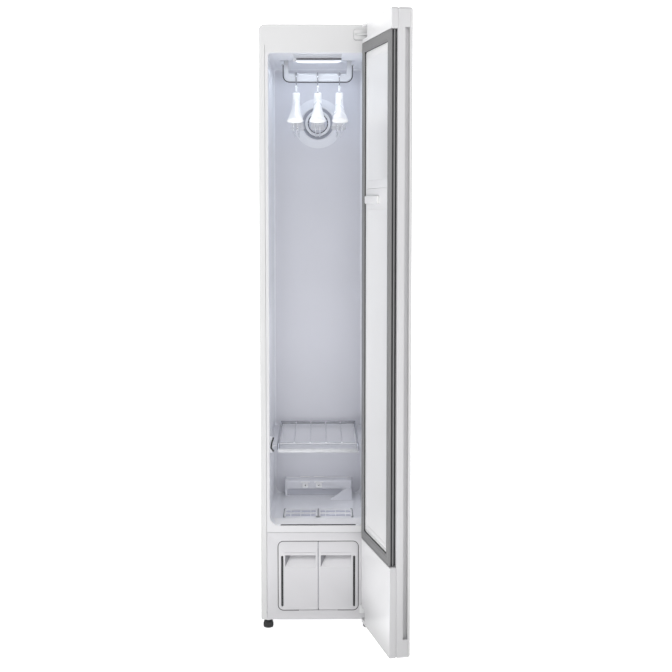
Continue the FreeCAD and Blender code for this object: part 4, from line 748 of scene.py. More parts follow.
# %% Ceiling lamp
lamp_low, lamp_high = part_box("ceiling_lamp")
housing_height, hair = 0.0060, 0.0001
housing_low = lamp_high.z - housing_height
vent_white = moulded("vent_white", (0.80, 0.805, 0.83), 0.30, 900.0, 0.05, 0.02)
lamp_grey = moulded("lamp_grey", (0.20, 0.20, 0.21), 0.40, 900.0, 0.10, 0.05)
lamp_milk = moulded("lamp_milk", (0.92, 0.94, 0.97), 0.30, 900.0, 0.03, 0.01)
shader_inputs(lamp_milk)["Emission Color"].default_value = (0.90, 0.94, 1.0, 1.0)
shader_inputs(lamp_milk)["Emission Strength"].default_value = 0.75


def lamp_lens():
    """A long rounded lens that hangs from the housing, thinner towards its ends."""
    half = (lamp_high.x - lamp_low.x) / 2 - 0.001
    middle = (lamp_low.y + lamp_high.y) / 2
    width = (lamp_high.y - lamp_low.y) / 2 - 0.002
    depth = housing_low - lamp_low.z - hair
    rings = []
    for step in range(33):
        along = math.sin(math.pi * (step / 32 - 0.5))
        swell = max(0.04, (1 - abs(along) ** 6)) ** 0.5
        rings.append([Vector((half * along, middle + width * c * swell ** 0.5,
                              housing_low - depth * swell * (0.5 - 0.5 * s))) for c, s in compass(20)])
    return painted(skinned(rings), "lamp_lens", lamp_milk, math.radians(60))


housing = block("lamp_housing", lamp_low + Vector((0, 0, housing_low - lamp_low.z)),
                lamp_high - Vector((0, 0, hair)), 0.0008, lamp_grey, 2)
clip = block("lamp_clip", (lamp_low.x - 0.0030, lamp_low.y - 0.0015, lamp_high.z - 0.0105),
             (lamp_low.x + 0.0080, lamp_low.y + 0.0100, lamp_high.z - 0.0002), 0.0012, vent_white, 2)
add_joined("ceiling_lamp_lens", "cabinet", [lamp_lens(), housing, clip], ["ceiling_lamp"])

# %% [markdown]
# ## Air outlet
# Warm air leaves through a round outlet in the back wall. A white rim holds overlapping conical
# slats, a pale ring and a domed disc, so that the fan behind is hardly seen but air passes. Turned
# outlines give the round parts, and a ring of thin ribs ties them together from behind.

# %% Air outlet
surround_white = moulded("surround_white", (0.84, 0.85, 0.89), 0.30, 900.0, 0.05, 0.02)
vent_low, vent_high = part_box("vent_ring")
vent_middle = Vector(((vent_low.x + vent_high.x) / 2, 0.0, (vent_low.z + vent_high.z) / 2))
wall_middle = vent_middle + Vector((0, liner_end_y - 0.003, 0))


def round_part(outline, finish):
    """Turn an outline in millimetres, as radius and depth behind the wall, about the outlet's middle."""
    return painted(turned(in_mm(outline), wall_middle, "Y", 96), "round", finish, math.radians(35))


surround = round_part([(56.0, 2.0), (56.0, -2.6), (60.0, -3.4), (66.0, -2.9), (74.0, -1.5), (80.0, -0.5),
                       (82.0, 0.0), (82.0, 2.0)], surround_white)
rim = round_part([(52.2, 7.0), (55.8, 7.0), (55.9, 0.0), (58.6, 0.0), (58.8, -1.4), (57.6, -2.8),
                  (55.6, -3.4), (53.6, -2.8), (52.2, -0.6)], vent_white)
slats = [round_part([(r, 3.2), (r + 0.9, 3.2), (r + 3.6, -1.0), (r + 3.1, -1.8), (r + 2.4, -1.4)], vent_grey)
         for r in (42.6, 45.6, 48.6)]
pale_ring = round_part([(33.4, -1.6), (34.2, -3.6), (37.6, -4.8), (41.4, -4.4), (42.6, -3.0), (42.4, 3.2),
                        (41.0, 3.2), (40.6, -2.6), (36.6, -3.0), (34.6, -1.2)], vent_white)
disc = round_part([(0.0, -3.4), (10.0, -3.9), (22.0, -4.4), (28.8, -4.2), (31.0, -2.8), (31.2, 0.0),
                   (30.0, 4.6), (0.0, 4.8)], vent_grey)
vent_rib = as_mesh(bevelled_box((0.028, -0.0007, -0.0055), (0.053, 0.0007, -0.0025), 0.0003), "vent_rib")
ribs = laid_along_y(grown(ring, vent_rib, Count=18, Finish=vent_grey), wall_middle)
add_joined("air_outlet", "cabinet", [surround, rim, *slats, pale_ring, disc, ribs], ["vent_ring"])

# %% [markdown]
# ## Wire shelf
# The shelf is bent and welded from chromed steel wire: a thick front bar, a thinner rail behind it,
# two side rods and four deck wires. The rods are swept along paths; one deck wire with its
# flattened weld ends is repeated in a row.

# %% Places of the shelf's wires
shelf_low, shelf_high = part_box("wire_shelf")
front_rod, side_rod, back_rod, second_rod, deck_rod = 0.0068, 0.0036, 0.0046, 0.0028, 0.0019
bar_z, rod_z = shelf_low.z + 0.0070, shelf_high.z - 0.0060
side_x = shelf_high.x - side_rod
front_rod_y, back_rod_y = shelf_low.y + 0.0070, shelf_high.y - 0.0050
bend_y, second_y = front_rod_y + 0.024, front_rod_y + 0.027
back_rise = 0.0055
# painted reflection: a dark copy of the chrome for the back rail, the pale rail_steel for the deck wires
back_rail_painted_reflection = metal("back_rail_painted_reflection", (0.24, 0.245, 0.27), 0.22, 0.04, 350.0)
bar_chrome = metal("bar_chrome", (0.60, 0.61, 0.64), 0.30, 0.03, 900.0, along=(0.05, 1.0, 1.0))
shader_inputs(bar_chrome)["Metallic"].default_value = 0.2
print("shelf from", rounded(*shelf_low), "to", rounded(*shelf_high))

# %% Wire shelf
def front_bar():
    """The thick front bar, with rounded ends that close it like a pressed cap."""
    half = side_x + side_rod - 0.0035
    end = [(-half, 0.25), (-half + 0.0006, 0.62), (-half + 0.002, 0.86), (-half + 0.004, 1.0)]
    rings = [[Vector((x, front_rod_y + front_rod * share * c, bar_z + front_rod * share * s))
              for c, s in compass(28)] for x, share in end + [(-x, share) for x, share in reversed(end)]]
    return painted(skinned(rings), "front_bar", bar_chrome, round_angle)


def deck_wire():
    """One deck wire from the second rail to the back rod, flattened where it is welded."""
    wire = rods([[(0.0, second_y - 0.002, 0.0), (0.0, back_rod_y + 0.001, back_rise)]], deck_rod, rail_steel,
                sides=10)
    parts = [wire]
    for y, rise in ((second_y, 0.0), (back_rod_y, back_rise)):
        pad = bmesh.new()
        flattened = Matrix.Translation((0.0, y, rise - 0.0006)) @ Matrix.Diagonal((0.0027, 0.0036, 0.0012, 1.0))
        bmesh.ops.create_uvsphere(pad, u_segments=10, v_segments=6, radius=1.0, matrix=flattened)
        parts.append(painted(pad, "weld", chrome_wire, math.radians(60)))
    return meshes_joined("deck_wire", parts)[0]


side_paths = [[(side * side_x, front_rod_y, bar_z), (side * side_x, bend_y, rod_z),
               (side * side_x, back_rod_y, rod_z + back_rise)] for side in (-1, 1)]
side_rods = rods(side_paths, side_rod, chrome_wire, bend=0.010)
back_end, back_z = side_x + 0.002, rod_z + back_rise + 0.001
back_rail = rods([[(-back_end, back_rod_y, back_z), (back_end, back_rod_y, back_z)]], back_rod, back_rail_painted_reflection)
second_rail = rods([[(-side_x, second_y, rod_z), (side_x, second_y, rod_z)]], second_rod, chrome_wire)
# painted reflection: the deck wires take the paler steel
deck_wires, deck_rise = 4, 0.0030
gap = 2 * side_x / (deck_wires + 1)
one_wire = deck_wire()
one_wire.transform(Matrix.Translation((-side_x + gap, 0.0, rod_z + deck_rise)))
deck = grown(row, one_wire, Count=deck_wires, Step=(gap, 0.0, 0.0), Finish=rail_steel)
add_joined("wire_shelf_welded", "shelf", [side_rods, back_rail, second_rail, front_bar(), deck],
           ["wire_shelf"])

# %% [markdown]
# The rails that carry the shelf are white mouldings. Each front stop holds a bent strip of black
# rubber, so that the steel rod does not rattle. The rails are a soft-edged copy of the solid and
# each strip is a rod swept along three bends.

# %% Shelf rails
rail_low, rail_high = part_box("shelf_rails")
strip_path = in_mm([(12.0, 48.5), (6.8, 31.0), (4.6, 15.5), (12.0, 4.8)])
strips = rods([[(side * (rail_high.x - inset), rail_low.y - 0.0006, rail_low.z + rise)
                for inset, rise in strip_path] for side in (-1, 1)], 0.0024, bush_black, bend=0.006, sides=12)
add_joined("shelf_rails_shell", "cabinet", [soft_copy("shelf_rails", 0.0005, liner_painted_shade), strips],
           ["shelf_rails"])

# %% [markdown]
# ## Floor of the cavity
# The tray and the steam outlet's cover are mouldings with soft edges. Behind the tray's front lip a
# black strip is painted shadow in the drain slot, and dark rods are painted shadow in the gaps beside
# the two filters. The slope in front of the filters is a little whiter than the rest: painted light.

# %% Floor tray and drain slot
# tray_white is also painted light on the tray's slope and painted highlight on the cover's top edge
tray_white = moulded("tray_white", (0.95, 0.95, 0.96), 0.32, 900.0, 0.05, 0.02)
tray_low, tray_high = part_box("floor_tray")
lint_low, lint_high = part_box("lint_filter")
scent_low, scent_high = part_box("fragrance_filter")
slot_half = 0.1160
# painted shadow: a black strip fills the drain slot
slot_painted_shadow = block("slot_painted_shadow", (-slot_half, tray_low.y + 0.0002, tray_low.z + 0.0001),
                   (slot_half, tray_low.y + 0.0130, tray_low.z + 0.0029), 0.0002, bush_black)


def pocket_gap_shadow(side, low, high):
    """The path of a dark rod, painted shadow in the gap at the outer end of a filter's pocket."""
    edge = (high.x if side > 0 else low.x) + side * 0.0008
    inner = edge - side * 0.0060
    front, back, z = low.y - 0.0006, high.y + 0.0006, high.z - 0.0004
    return [(inner, front, z), (edge, front, z), (edge, back, z), (inner, back, z)]


# painted shadow: dark rods in the gaps beside and between the filters
middle_x = (lint_high.x + scent_low.x) / 2
gap_shadows = rods([pocket_gap_shadow(-1, lint_low, lint_high), pocket_gap_shadow(1, scent_low, scent_high),
              [(middle_x, lint_low.y, lint_high.z), (middle_x, lint_high.y, lint_high.z)]],
             0.0010, trim_dark, bend=0.003, sides=10)
tray = add_joined("floor_tray_shell", "cabinet",
                  [soft_copy("floor_tray", 0.0006, liner_cool), slot_painted_shadow, gap_shadows], ["floor_tray"]).data
# painted light: the slope in front of the filters takes the whiter tray_white
tray.materials.append(tray_white)
slope_end_y = front_y + 0.068
for face in tray.polygons:
    if face.material_index == 0 and face.center.y < slope_end_y and face.normal.z > 0.05:
        face.material_index = len(tray.materials) - 1

# %% [markdown]
# The cover at the back hides the steam outlet. Its wide mouth draws the air in through a screen of
# thin slats, which is one slat in a row with a plate behind it. A thin ledge and two short bars on
# its top edge, in the whitest finish, are painted highlights along that edge and over the nozzles.

# %% Steam cover
module_low, module_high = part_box("steam_module")
nozzle_low, nozzle_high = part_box("steam_nozzles")
nozzle_half = 0.0150
# painted highlights: a bright rod along the cover's top edge and two bright bars over the nozzles
ledge_x = (module_low.x + 0.004, module_high.x - 0.004)
ledge = rods([[(x, module_high.y - 0.0016, module_high.z + 0.0004) for x in ledge_x]], 0.0012, tray_white,
             sides=10)
highlight_bars = [block("highlight_bar", (x - 0.0170, module_high.y - 0.0060, module_high.z + 0.0003),
                   (x + 0.0170, module_high.y - 0.0010, module_high.z + 0.0036), 0.0008, tray_white, 2)
             for x in (nozzle_low.x + nozzle_half, nozzle_high.x - nozzle_half)]
add_joined("steam_cover_shell", "cabinet", [soft_copy("steam_module", 0.0009, liner_painted_shade), ledge, *highlight_bars],
           ["steam_module"])
print("cover", rounded(*module_low, *module_high), "nozzles", rounded(*nozzle_low, *nozzle_high))

# %% Intake screen
screen_lilac = moulded("screen_lilac", (0.80, 0.81, 0.87), 0.5, 1500.0, 0.2, 0.04)
mouth_y = module_high.y - 0.0548 + 0.0030
mouth_left, mouth_right = module_low.x + 0.0085, module_high.x - 0.0325
mouth_floor, mouth_roof = tray_high.z + 0.0032, tray_high.z + 0.0246
slat_box = bevelled_box((mouth_left + 0.001, mouth_y, mouth_floor + 0.0010),
                        (mouth_right - 0.001, mouth_y + 0.0030, mouth_floor + 0.0019), 0.0003)
slat_row = grown(row, as_mesh(slat_box, "slat"), Count=7, Step=(0.0, 0.0, 0.0029), Finish=screen_lilac)
screen = block("screen", (mouth_left, mouth_y + 0.0028, mouth_floor), (mouth_right, mouth_y + 0.0040, mouth_roof),
               0.0003, screen_lilac)
add_joined("intake_screen", "cabinet", [screen, slat_row])

# %% [markdown]
# ## Filters
# Two cassettes lift out of the floor: one catches lint and one holds the fragrance. Each has an
# outer frame, a fine mesh, one long bar and three cross bars, which are one bar in a row.

# %% Filter cassettes
lilac_mesh = moulded("filter_mesh_lilac", (0.60, 0.60, 0.70), 0.5, 1500.0, 0.3, 0.05)
filter_rim, finger_side, lip_half = 0.0055, 0.010, 0.019
cross_bars = 3


def cassette(node, body):
    """A lift-out cassette: an outer frame, a recessed mesh, one long bar, cross bars and a finger lip."""
    low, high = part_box(node)
    inner_low = low + Vector((filter_rim, filter_rim + finger_side, 0.0))
    inner_high = high - Vector((filter_rim, filter_rim, 0.0))
    sides = (((low.x, low.y), (high.x, inner_low.y)), ((low.x, inner_high.y), (high.x, high.y)),
             ((low.x, low.y), (inner_low.x, high.y)), ((inner_high.x, low.y), (high.x, high.y)))
    outer = painted(joined(*[bevelled_box((*first, low.z), (*last, high.z), 0.0007, 2) for first, last in sides]),
                    "frame", filter_shell)
    sheet = block("mesh", (inner_low.x - 0.002, inner_low.y - 0.002, low.z + 0.0005),
                  (inner_high.x + 0.002, inner_high.y + 0.002, low.z + 0.0016), 0.0002, lilac_mesh)
    inside = inner_high - inner_low
    step = inside.x / cross_bars
    cross = bevelled_box((inner_low.x + step / 2 - 0.0012, inner_low.y - 0.001, low.z + 0.0012),
                         (inner_low.x + step / 2 + 0.0012, inner_high.y + 0.001, high.z - 0.0012), 0.0003)
    cross_row = grown(row, as_mesh(cross, "cross_bar"), Count=cross_bars, Step=(step, 0.0, 0.0),
                      Finish=filter_shell)
    middle_y, middle_x = inner_low.y + inside.y * 0.52, (low.x + high.x) / 2
    long_bar = block("long_bar", (inner_low.x - 0.001, middle_y - 0.0045, low.z + 0.0012),
                     (inner_high.x + 0.001, middle_y + 0.0045, high.z - 0.0004), 0.0004, filter_shell)
    lip = block("lip", (middle_x - lip_half, low.y + 0.006, high.z - 0.0018),
                (middle_x + lip_half, low.y + 0.0095, high.z + 0.0004), 0.0005, filter_shell, 2)
    add_joined(body + "_frame", body, [outer, sheet, cross_row, long_bar, lip], [node])


cassette("lint_filter", "lint_cassette")
cassette("fragrance_filter", "fragrance_cassette")

# %% [markdown]
# ## Steam nozzles
# Steam enters through two small outlets. Each has a square bezel with a round bore, and is a copy
# of the solid with soft edges.

# %% Steam nozzles
softened_piece("steam_nozzles", "cabinet", tray_white, 0.0006)

# %% [markdown]
# ## Fan
# The impeller is a backward-curved wheel. One curved blade is repeated nine times round the hub;
# the back plate, hub and front ring are turned.

# %% Fan impeller
fan_low, fan_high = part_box("fan_impeller")
fan_radius = (fan_high.x - fan_low.x) / 2
fan_place = Vector((vent_middle.x, fan_low.y, vent_middle.z))
hub_radius, blade_half, blade_foot = 0.012, 0.0008, -0.0185


def fan_blade():
    """One curved blade, standing on its edge round the Z axis."""
    rings = []
    for step in range(9):
        share = step / 8
        r = hub_radius + (fan_radius - 0.0135) * share
        turn = 0.55 * share * share
        lean = turn + 0.5 * share
        inner = Vector((r * math.cos(turn), r * math.sin(turn), 0.0))
        across = Vector((-math.sin(lean), math.cos(lean), 0.0)) * blade_half
        foot, top = Vector((0, 0, blade_foot)), Vector((0, 0, -0.0025 - 0.0010 * share))
        rings.append([inner - across + foot, inner + across + foot, inner + across + top, inner - across + top])
    return as_mesh(skinned(rings), "blade")


blades = laid_along_y(grown(ring, fan_blade(), Count=9, Finish=fan_dark), fan_place)
plate_edge = fan_radius / MM
wheel_outlines = (
    [(0.0, 18.0), (plate_edge, 18.0), (plate_edge, 20.0), (0.0, 20.0)],
    [(0.0, 0.0), (7.0, 0.0), (8.5, 1.2), (10.0, 6.0), (14.0, 18.5), (0.0, 18.5)],
    [(32.0, 0.2), (34.0, 0.0), (43.6, 1.8), (43.9, 3.4), (42.0, 3.4), (33.6, 1.8), (32.0, 1.6)],
    [(0.0, 19.0), (3.0, 19.0), (3.0, 34.0), (0.0, 34.0)],
)
wheel = [painted(turned(in_mm(outline), fan_place, "Y", 72), "wheel", fan_dark, math.radians(35))
         for outline in wheel_outlines]
add_joined("fan_wheel", "fan", [blades, *wheel], ["fan_impeller"])

# %% [markdown]
# ## Water tanks
# Each tank shows a white front with a scooped grip and a narrow sight slot. The fronts are copies of
# the solids with soft edges, since a bright edge line is what makes a gap read. The tank behind is
# smoked clear plastic, so the slot looks almost black and shows the water line from close by.

# %% Tank fronts and tanks
tank_smoke = moulded("tank_smoke", (0.030, 0.031, 0.036), 0.12, 900.0, 0.02, 0.05)
shader_inputs(tank_smoke)["Transmission Weight"].default_value = 0.55
shader_inputs(tank_smoke)["IOR"].default_value = 1.49
grip_width, grip_height, grip_drop, grip_depth, grip_side = 0.094, 0.038, 0.0442, 0.0262, 0.0070


def dressed_tank_front(side):
    """One tank front: soft edges, a scoop in painted light, and a dark slanted cheek of painted shadow."""
    low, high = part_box(side + "_tank_front")
    grip_left = (high.x - 0.0073 - grip_width) if side == "supply" else (low.x + grip_side)
    grip_high = high.z - grip_drop
    grip_low = grip_high - grip_height
    front = soft_copy(side + "_tank_front", 0.0007, front_satin)
    front.materials.append(grip_painted_light)
    # painted light: the scoop's sloping faces take the lighter finish
    for face in front.polygons:
        sloping = 0.3 < face.normal.z < 0.9 and face.normal.y < -0.5
        if sloping and grip_low - 0.002 < face.center.z < grip_high:
            face.material_index = 1
    # painted shadow: a dark wedge at the scoop's left end, where its shade falls
    roof_z = grip_high - 0.0006
    cheek = bmesh.new()
    corners = [cheek.verts.new((grip_left + x, low.y + y, z)) for x, y, z in (
        (0.0, 0.0006, roof_z), (0.0, 0.0006, grip_low + 0.0020), (0.0, grip_depth, roof_z),
        (0.0190, grip_depth, roof_z))]
    for trio in ((0, 1, 2), (0, 1, 3), (1, 2, 3), (0, 2, 3)):
        cheek.faces.new([corners[i] for i in trio])
    add_joined(side + "_tank_front_shell", side + "_tank", [front, painted(cheek, "cheek", cheek_painted_shadow)],
               [side + "_tank_front"])
    print(side, "front", rounded(*low, *high))


for side in ("supply", "drain"):
    dressed_tank_front(side)
    dress(frame["nodes"][side + "_tank_body"].data, tank_smoke)

# %% Lower front and the trim round the tanks
softened_piece("lower_front_panel", "cabinet", front_satin, 0.0007)
supply_low, supply_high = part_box("supply_tank_front")
# painted shadow: a black rod in the gap round the tank fronts
reveal, gap_end_x = 0.0014, 0.060
gap_left, gap_right = supply_low.x - reveal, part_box("drain_tank_front")[1].x + reveal
gap_floor, gap_roof = supply_low.z - reveal, supply_high.z + reveal
bay_gap_shadow_path = [(gap_end_x, gap_floor), (gap_right, gap_floor), (gap_right, gap_roof),
                 (gap_left, gap_roof), (gap_left, gap_floor), (-gap_end_x, gap_floor)]
bay_gap_shadow = rods([[(x, supply_low.y + 0.0010, z) for x, z in bay_gap_shadow_path]], 0.0013, bush_black, bend=0.017,
                sides=10)
rib_strip = block("rib_strip", (-0.0007, supply_low.y + 0.0030, supply_low.z + 0.003),
                  (0.0007, supply_low.y + 0.0050, supply_high.z - 0.003), 0.0002, vent_grey)
add_joined("tank_bay_trim", "cabinet", [bay_gap_shadow, rib_strip])

# %% [markdown]
# ## Door
# The open door shows its inside: a glossy moulded liner, a trouser press with a grip bar, and the
# bellows gasket. The frame behind it is foamed in one piece.

# %% Door mouldings
door_inside = softened_piece("door_liner", "door", door_gloss, 0.0007).data
softened_piece("door_frame", "door", door_satin, 0.0007)
softened_piece("door_front_panel", "door", door_panel_white, 0.0006)
softened_piece("press_board", "press", door_gloss, 0.0008)
softened_piece("press_handle", "press", door_gloss, 0.0005)

# %% [markdown]
# The gasket is an extruded bellows of grey rubber. Four lengths are cut on the mitre and welded, so
# its corners are square. The profile is drawn once, as distance in from the outer edge and height
# above the door, and set at each corner on the mitre plane; straight skins join the corners. It is
# drawn with the door shut, where its sides are straight, and then turned with the door. The liner's
# border outside the gasket has two finishes of its own.

# %% The door, shut and open
door_opening = math.radians(101.6)
hinge_place = Vector(next(joint for joint in frame["joints"] if joint["name"] == "door_hinge")["pos_m"])
open_turn = (Matrix.Translation(hinge_place) @ Matrix.Rotation(door_opening, 4, "Z") @
             Matrix.Translation(-hinge_place))
closed_turn = open_turn.inverted()
shut_points = [closed_turn @ vertex.co for vertex in frame["nodes"]["door_gasket"].data.vertices]
ring_low = Vector([min(point[axis] for point in shut_points) for axis in range(3)])
ring_high = Vector([max(point[axis] for point in shut_points) for axis in range(3)])
# painted shade: the border's finish darkens strongly towards the bottom of the door
door_inside.materials.append(door_border)
door_inside.materials.append(door_satin)
for face in door_inside.polygons:
    spot = closed_turn @ face.center
    if not (ring_low.x < spot.x < ring_high.x and ring_low.z < spot.z < ring_high.z):
        toward_grip = (closed_turn.to_3x3() @ face.normal).x < -0.5
        face.material_index = 2 if toward_grip else 1
print("gasket shut", rounded(*ring_low, *ring_high))

# %% Door gasket
gasket_profile = [(1.4, 0.0), (3.2, 1.0), (3.8, 2.8), (2.6, 4.2), (0.6, 4.8), (0.0, 5.6), (0.0, 8.0), (0.6, 8.8),
                  (3.2, 9.4), (3.6, 11.2), (2.4, 12.8), (0.5, 13.5), (0.4, 18.4), (1.2, 19.2),
                  (4.6, 19.2), (5.4, 18.5), (6.2, 19.2), (22.6, 19.2),
                  (23.4, 18.5), (24.2, 19.2), (28.4, 19.2), (29.8, 17.4), (29.9, 13.0), (27.0, 11.6), (29.4, 10.0),
                  (29.2, 8.6), (26.4, 7.4), (28.6, 5.6), (29.6, 2.0), (29.6, 0.0)]
drawn_height = 0.0192
# painted shade: faces in the bellows' folds take a near-black copy of the grey rubber
painted_shade_folds = {0, 1, 2, 3, 7, 8, 9, 10} | set(range(21, 29))
rubber_grey = moulded("rubber_grey", (0.21, 0.21, 0.213), 0.55, 1300.0, 0.5, 0.05)
rubber_fold_shade = moulded("rubber_fold_shade", (0.030, 0.030, 0.032), 0.55, 1300.0, 0.5, 0.05)


def gasket_mesh():
    """Four mitred lengths of the bellows profile as one closed ring, with the door shut."""
    height = (ring_high.y - ring_low.y) / drawn_height * MM
    corners = [(ring_low.x, ring_low.z, 1, 1), (ring_high.x, ring_low.z, -1, 1),
               (ring_high.x, ring_high.z, -1, -1), (ring_low.x, ring_high.z, 1, -1)]
    rings = [[Vector((x + sx * inset * MM, ring_low.y + rise * height, z + sz * inset * MM))
              for inset, rise in gasket_profile] for x, z, sx, sz in corners]
    return as_mesh(skinned(rings, closed=True), "gasket", math.radians(24))


seal_mesh = gasket_mesh()
seal_mesh.transform(open_turn)
add_piece("door_gasket_bellows", seal_mesh, "door", [rubber_grey, rubber_fold_shade], ["door_gasket"])
# painted shade: the listed folds of the profile get the near-black rubber
for face in seal_mesh.polygons:
    face.material_index = 1 if face.index % len(gasket_profile) in painted_shade_folds else 0

# %% [markdown]
# ## Feet
# Each levelling foot is a black rubber pad with grip ribs round it, a hexagon collar for a spanner
# and a zinc stem. The pad is turned, the ribs are one rib repeated in a ring.

# %% Feet
stem_zinc = metal("stem_zinc", (0.70, 0.71, 0.72), 0.32, 0.2, 900.0)


def foot_piece(number, body):
    """Pad, ribs, collar and stem of one foot."""
    low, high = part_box("foot_%d" % number)
    middle = Vector(((low.x + high.x) / 2, (low.y + high.y) / 2, 0.0))
    radius = (high.x - low.x) / 2
    pad_edge = [(3.5, 0.0), (1.2, 1.0), (0.4, 3.4), (0.8, 16.0), (2.2, 20.5), (6.0, 22.6)]
    outline = [(0.0, 0.0)] + [(radius - inset, z) for inset, z in in_mm(pad_edge)] + [(0.0, 0.0230)]
    pad = painted(turned(outline, middle, "Z", 64), "pad", foot_black, math.radians(40))
    rib = bevelled_box((radius - 0.0016, -0.0008, 0.0040), (radius, 0.0008, 0.0155), 0.0003)
    ribs = grown(ring, as_mesh(rib, "rib"), Count=28, Finish=foot_black)
    ribs.transform(Matrix.Translation(middle))
    collar = stem_part([(0, 22.8), (7.6, 22.8), (8.0, 23.6), (8.0, 30.6), (7.4, 31.6), (0, 31.6)], middle,
                       stem_zinc, 6, math.radians(20))
    top = high.z / MM
    stem = stem_part([(0, 30), (4.9, 30), (4.9, top - 1), (4.2, top), (0, top)], middle, stem_zinc, 24)
    add_joined("foot_%d_turned" % number, body, [pad, ribs, collar, stem], ["foot_%d" % number])


for number, corner in enumerate(("front_left", "front_right", "rear_right", "rear_left"), 1):
    foot_piece(number, "foot_" + corner)

# %% [markdown]
# ## Back
# The rear panel is galvanised sheet, held by two rows of screws. One screw with a cross recess is
# repeated up each edge. Each pressed louvre has a small hood over its slot, again one hood in a row.

# %% Casing screws
screws_low, screws_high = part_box("casing_screws")
screw_count, screw_inset = 6, 0.004
cross_half, cross_width, cross_foot, cross_top = 0.0021, 0.0004, 0.00245, 0.00262


def cross_screw():
    """A pan head round the Z axis, and the dark cross in it."""
    outline = in_mm([(0.0, 0.0), (4.0, 0.0), (3.9, 0.8), (3.2, 1.9), (1.9, 2.5), (0.0, 2.6)])
    head = as_mesh(turned(outline, (0, 0, 0), "Z", 20), "screw")
    bars = [bevelled_box((-x, -y, cross_foot), (x, y, cross_top), 0.00005)
            for x, y in ((cross_half, cross_width), (cross_width, cross_half))]
    return head, as_mesh(joined(*bars), "cross")


edge_x, first_z = screws_high.x - screw_inset, screws_low.z + screw_inset
pitch = (screws_high.z - screws_low.z - 2 * screw_inset) / (screw_count - 1)
columns = []
for mesh, finish in zip(cross_screw(), (ground_rod, bush_black)):
    mesh.transform(Matrix.Rotation(-math.pi / 2, 4, "X"))
    for x in (-edge_x, edge_x):
        start = mesh.copy()
        start.transform(Matrix.Translation((x, screws_low.y, first_z)))
        columns.append(grown(row, start, Count=screw_count, Step=(0.0, 0.0, pitch), Finish=finish))
add_joined("casing_screw_rows", "cabinet", columns, ["casing_screws"])

# %% Louvre hoods
hood_half, hood_depth = 0.040, 0.0016
first_louvre_z, louvre_pitch = 0.032 + 0.060, 0.022


def louvre_hood():
    """A pressed hood over one slot: a shallow lip that leans out at its lower edge."""
    rings = []
    for step in range(17):
        along = -hood_half + 2 * hood_half * step / 16
        swell = max(0.08, 1 - abs(along / hood_half) ** 5) ** 0.5
        out = hood_depth * swell
        section = ((0.0, 0.0072), (out * 0.55, 0.0056), (out, 0.0030), (out, 0.0020),
                   (out - 0.0008 * swell, 0.0020), (0.0, 0.0060))
        rings.append([Vector((along, y, z)) for y, z in section])
    return as_mesh(skinned(rings), "hood", math.radians(40))


hood_columns = []
for x in (-0.070, 0.070):
    hood = louvre_hood()
    hood.transform(Matrix.Translation((x, back_y - 0.0015, first_louvre_z)))
    hood_columns.append(grown(row, hood, Count=9, Step=(0.0, 0.0, louvre_pitch), Finish=fin_metal))
add_joined("louvre_hoods", "cabinet", hood_columns)

# %% [markdown]
# ## Hinge cover and hinge
# The cover is a moulding, so its edges are soft, and a thin grey rod round its open side is painted
# shadow in the gap. The hinge itself is coated steel with a slightly smaller edge.

# %% Hinge cover and hinge
softened_piece("hinge_cover", "cabinet", cap_satin, 0.0003)
cover_low, cover_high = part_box("hinge_cover")
# painted shadow: a grey rod in the gap round the cover's open side
gap_shadow_y = cover_high.y - 0.0006
edge_path = [(cover_high.x, gap_shadow_y, cover_high.z), (cover_low.x, gap_shadow_y, cover_high.z),
             (cover_low.x, gap_shadow_y, cover_low.z), (cover_high.x, gap_shadow_y, cover_low.z)]
add_joined("hinge_cover_gap_shadow", "cabinet", [rods([edge_path], 0.0007, drive_grey, bend=0.006, sides=10)])
softened_piece("hinge_brackets", "cabinet", bracket_coat, 0.0004)

# %% [markdown]
# ## Studio
# The floor is one white sheet that curves up behind the cabinet, so there is no horizon line. It
# glows a little, as a light table does, which keeps the paper white around a white object. A soft
# sky gives light from all round, and a large lamp on each side adds a little direction.

# %% Studio floor
floor_near, bend_start, bend_radius, floor_top, floor_half = -24.0, 3.0, 3.0, 9.0, 20.0


def cyclorama():
    """A white floor that curves up into a back wall, as one smooth sheet."""
    profile = [(floor_near, 0.0), (-2.0, 0.0), (bend_start, 0.0)]
    for step in range(1, 17):
        angle = math.pi / 2 * step / 16
        profile.append((bend_start + bend_radius * math.sin(angle), bend_radius * (1 - math.cos(angle))))
    profile.append((bend_start + bend_radius, floor_top))
    verts = [(x, y, z) for y, z in profile for x in (-floor_half, floor_half)]
    faces = [(2 * i, 2 * i + 1, 2 * i + 3, 2 * i + 2) for i in range(len(profile) - 1)]
    mesh = bpy.data.meshes.new("studio_floor")
    mesh.from_pydata(verts, [], faces)
    mesh.polygons.foreach_set("use_smooth", [True] * len(mesh.polygons))
    floor = bpy.data.objects.new("studio_floor", mesh)
    bpy.context.scene.collection.objects.link(floor)
    paper = moulded("studio_white", (0.93, 0.93, 0.93), 0.85, 300.0, 0.02, 0.005)
    shader_inputs(paper)["Emission Color"].default_value = (1.0, 1.0, 1.0, 1.0)
    shader_inputs(paper)["Emission Strength"].default_value = 0.66
    mesh.materials.append(paper)
    return floor


cyclorama()
print("floor from y", floor_near, "to", bend_start + bend_radius, "and up to z", floor_top)

# %% [markdown]
# The big lamps stand round the cabinet. The small ones hang in the cavity, just under its own lamp
# and beside the steam cover, and carry that lamp's cool light down to the floor.

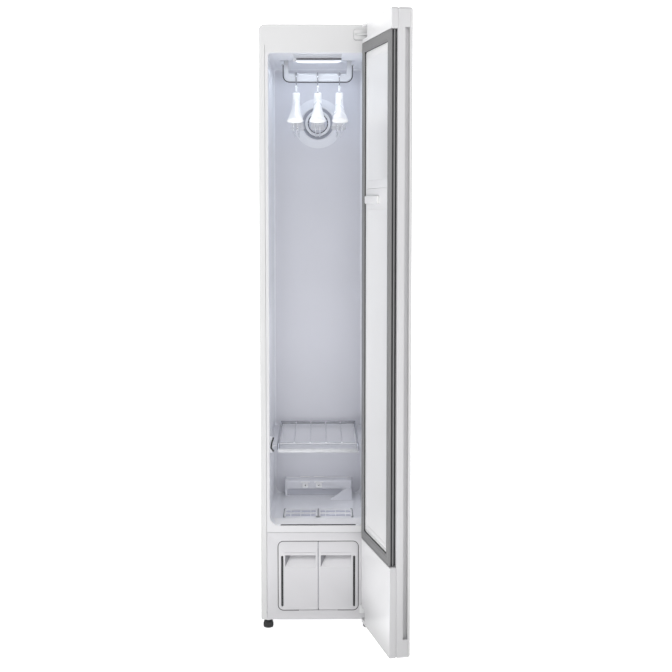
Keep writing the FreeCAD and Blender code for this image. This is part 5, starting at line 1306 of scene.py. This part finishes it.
# %% Sky and lamps
world = bpy.data.worlds.new("studio_sky")
bpy.context.scene.world = world
world.use_nodes = True
sky = world.node_tree.nodes["Background"].inputs
sky["Color"].default_value = (1.0, 1.0, 1.0, 1.0)
sky["Strength"].default_value = 0.30
white, cool, pale = (1.0, 1.0, 1.0), (0.84, 0.91, 1.0), (0.95, 0.96, 1.0)


def soft_lamp(name, place, aim, size, power, colour=white):
    """A rectangular area lamp that faces a point."""
    data = bpy.data.lights.new(name, "AREA")
    data.shape = "RECTANGLE"
    data.size, data.size_y = size
    data.energy = power
    data.color = colour
    lamp = bpy.data.objects.new(name, data)
    bpy.context.scene.collection.objects.link(lamp)
    lamp.location = place
    lamp.visible_camera = False
    lamp.rotation_euler = (Vector(aim) - Vector(place)).to_track_quat("-Z", "Y").to_euler()


soft_lamp("key_left", (-3.6, -3.6, 3.0), (0.0, -0.2, 0.9), (1.3, 1.6), 69.0)
soft_lamp("right_fill", (3.2, -4.0, 2.4), (0.0, -0.2, 0.9), (2.0, 2.5), 18.0)
soft_lamp("front_fill", (0.3, -7.0, 1.9), (0.0, 0.0, 0.9), (4.0, 3.0), 25.0)
soft_lamp("high_front", (0.2, -4.6, 4.6), (0.0, 0.0, 0.6), (3.0, 2.0), 70.0)
soft_lamp("cavity_back_lamp", (0.0, bar_y + 0.090, lamp_low.z - 0.010), (0.0, bar_y + 0.12, 0.9),
          (0.25, 0.05), 0.16, cool)
soft_lamp("cavity_low_lamp", (0.0, front_y + 0.09, 1.02), (0.0, front_y + 0.16, 0.5), (0.10, 0.16), 0.11, pale)
for side, power in ((-1, 0.006), (1, 0.015)):
    soft_lamp("cover_side_lamp", (side * 0.095, module_low.y - 0.07, 0.50),
              (side * 0.136, liner_end_y - 0.03, 0.37), (0.03, 0.05), power, pale)
soft_lamp("top_fill", (0.5, -1.5, 5.0), (0.0, 0.0, 0.5), (4.0, 4.0), 16.0)
soft_lamp("cavity_lamp", (0.0, bar_y - 0.070, lamp_low.z - 0.006), (0.0, bar_y + 0.06, 0.9), (0.20, 0.03),
          0.15, cool)

# %% [markdown]
# The look of pure white paper needs a plain view transform: the default one is made for strong
# contrast and would turn white paper grey.

# %% View transform
bpy.context.scene.view_settings.view_transform = "Standard"
print("view transform", bpy.context.scene.view_settings.view_transform)
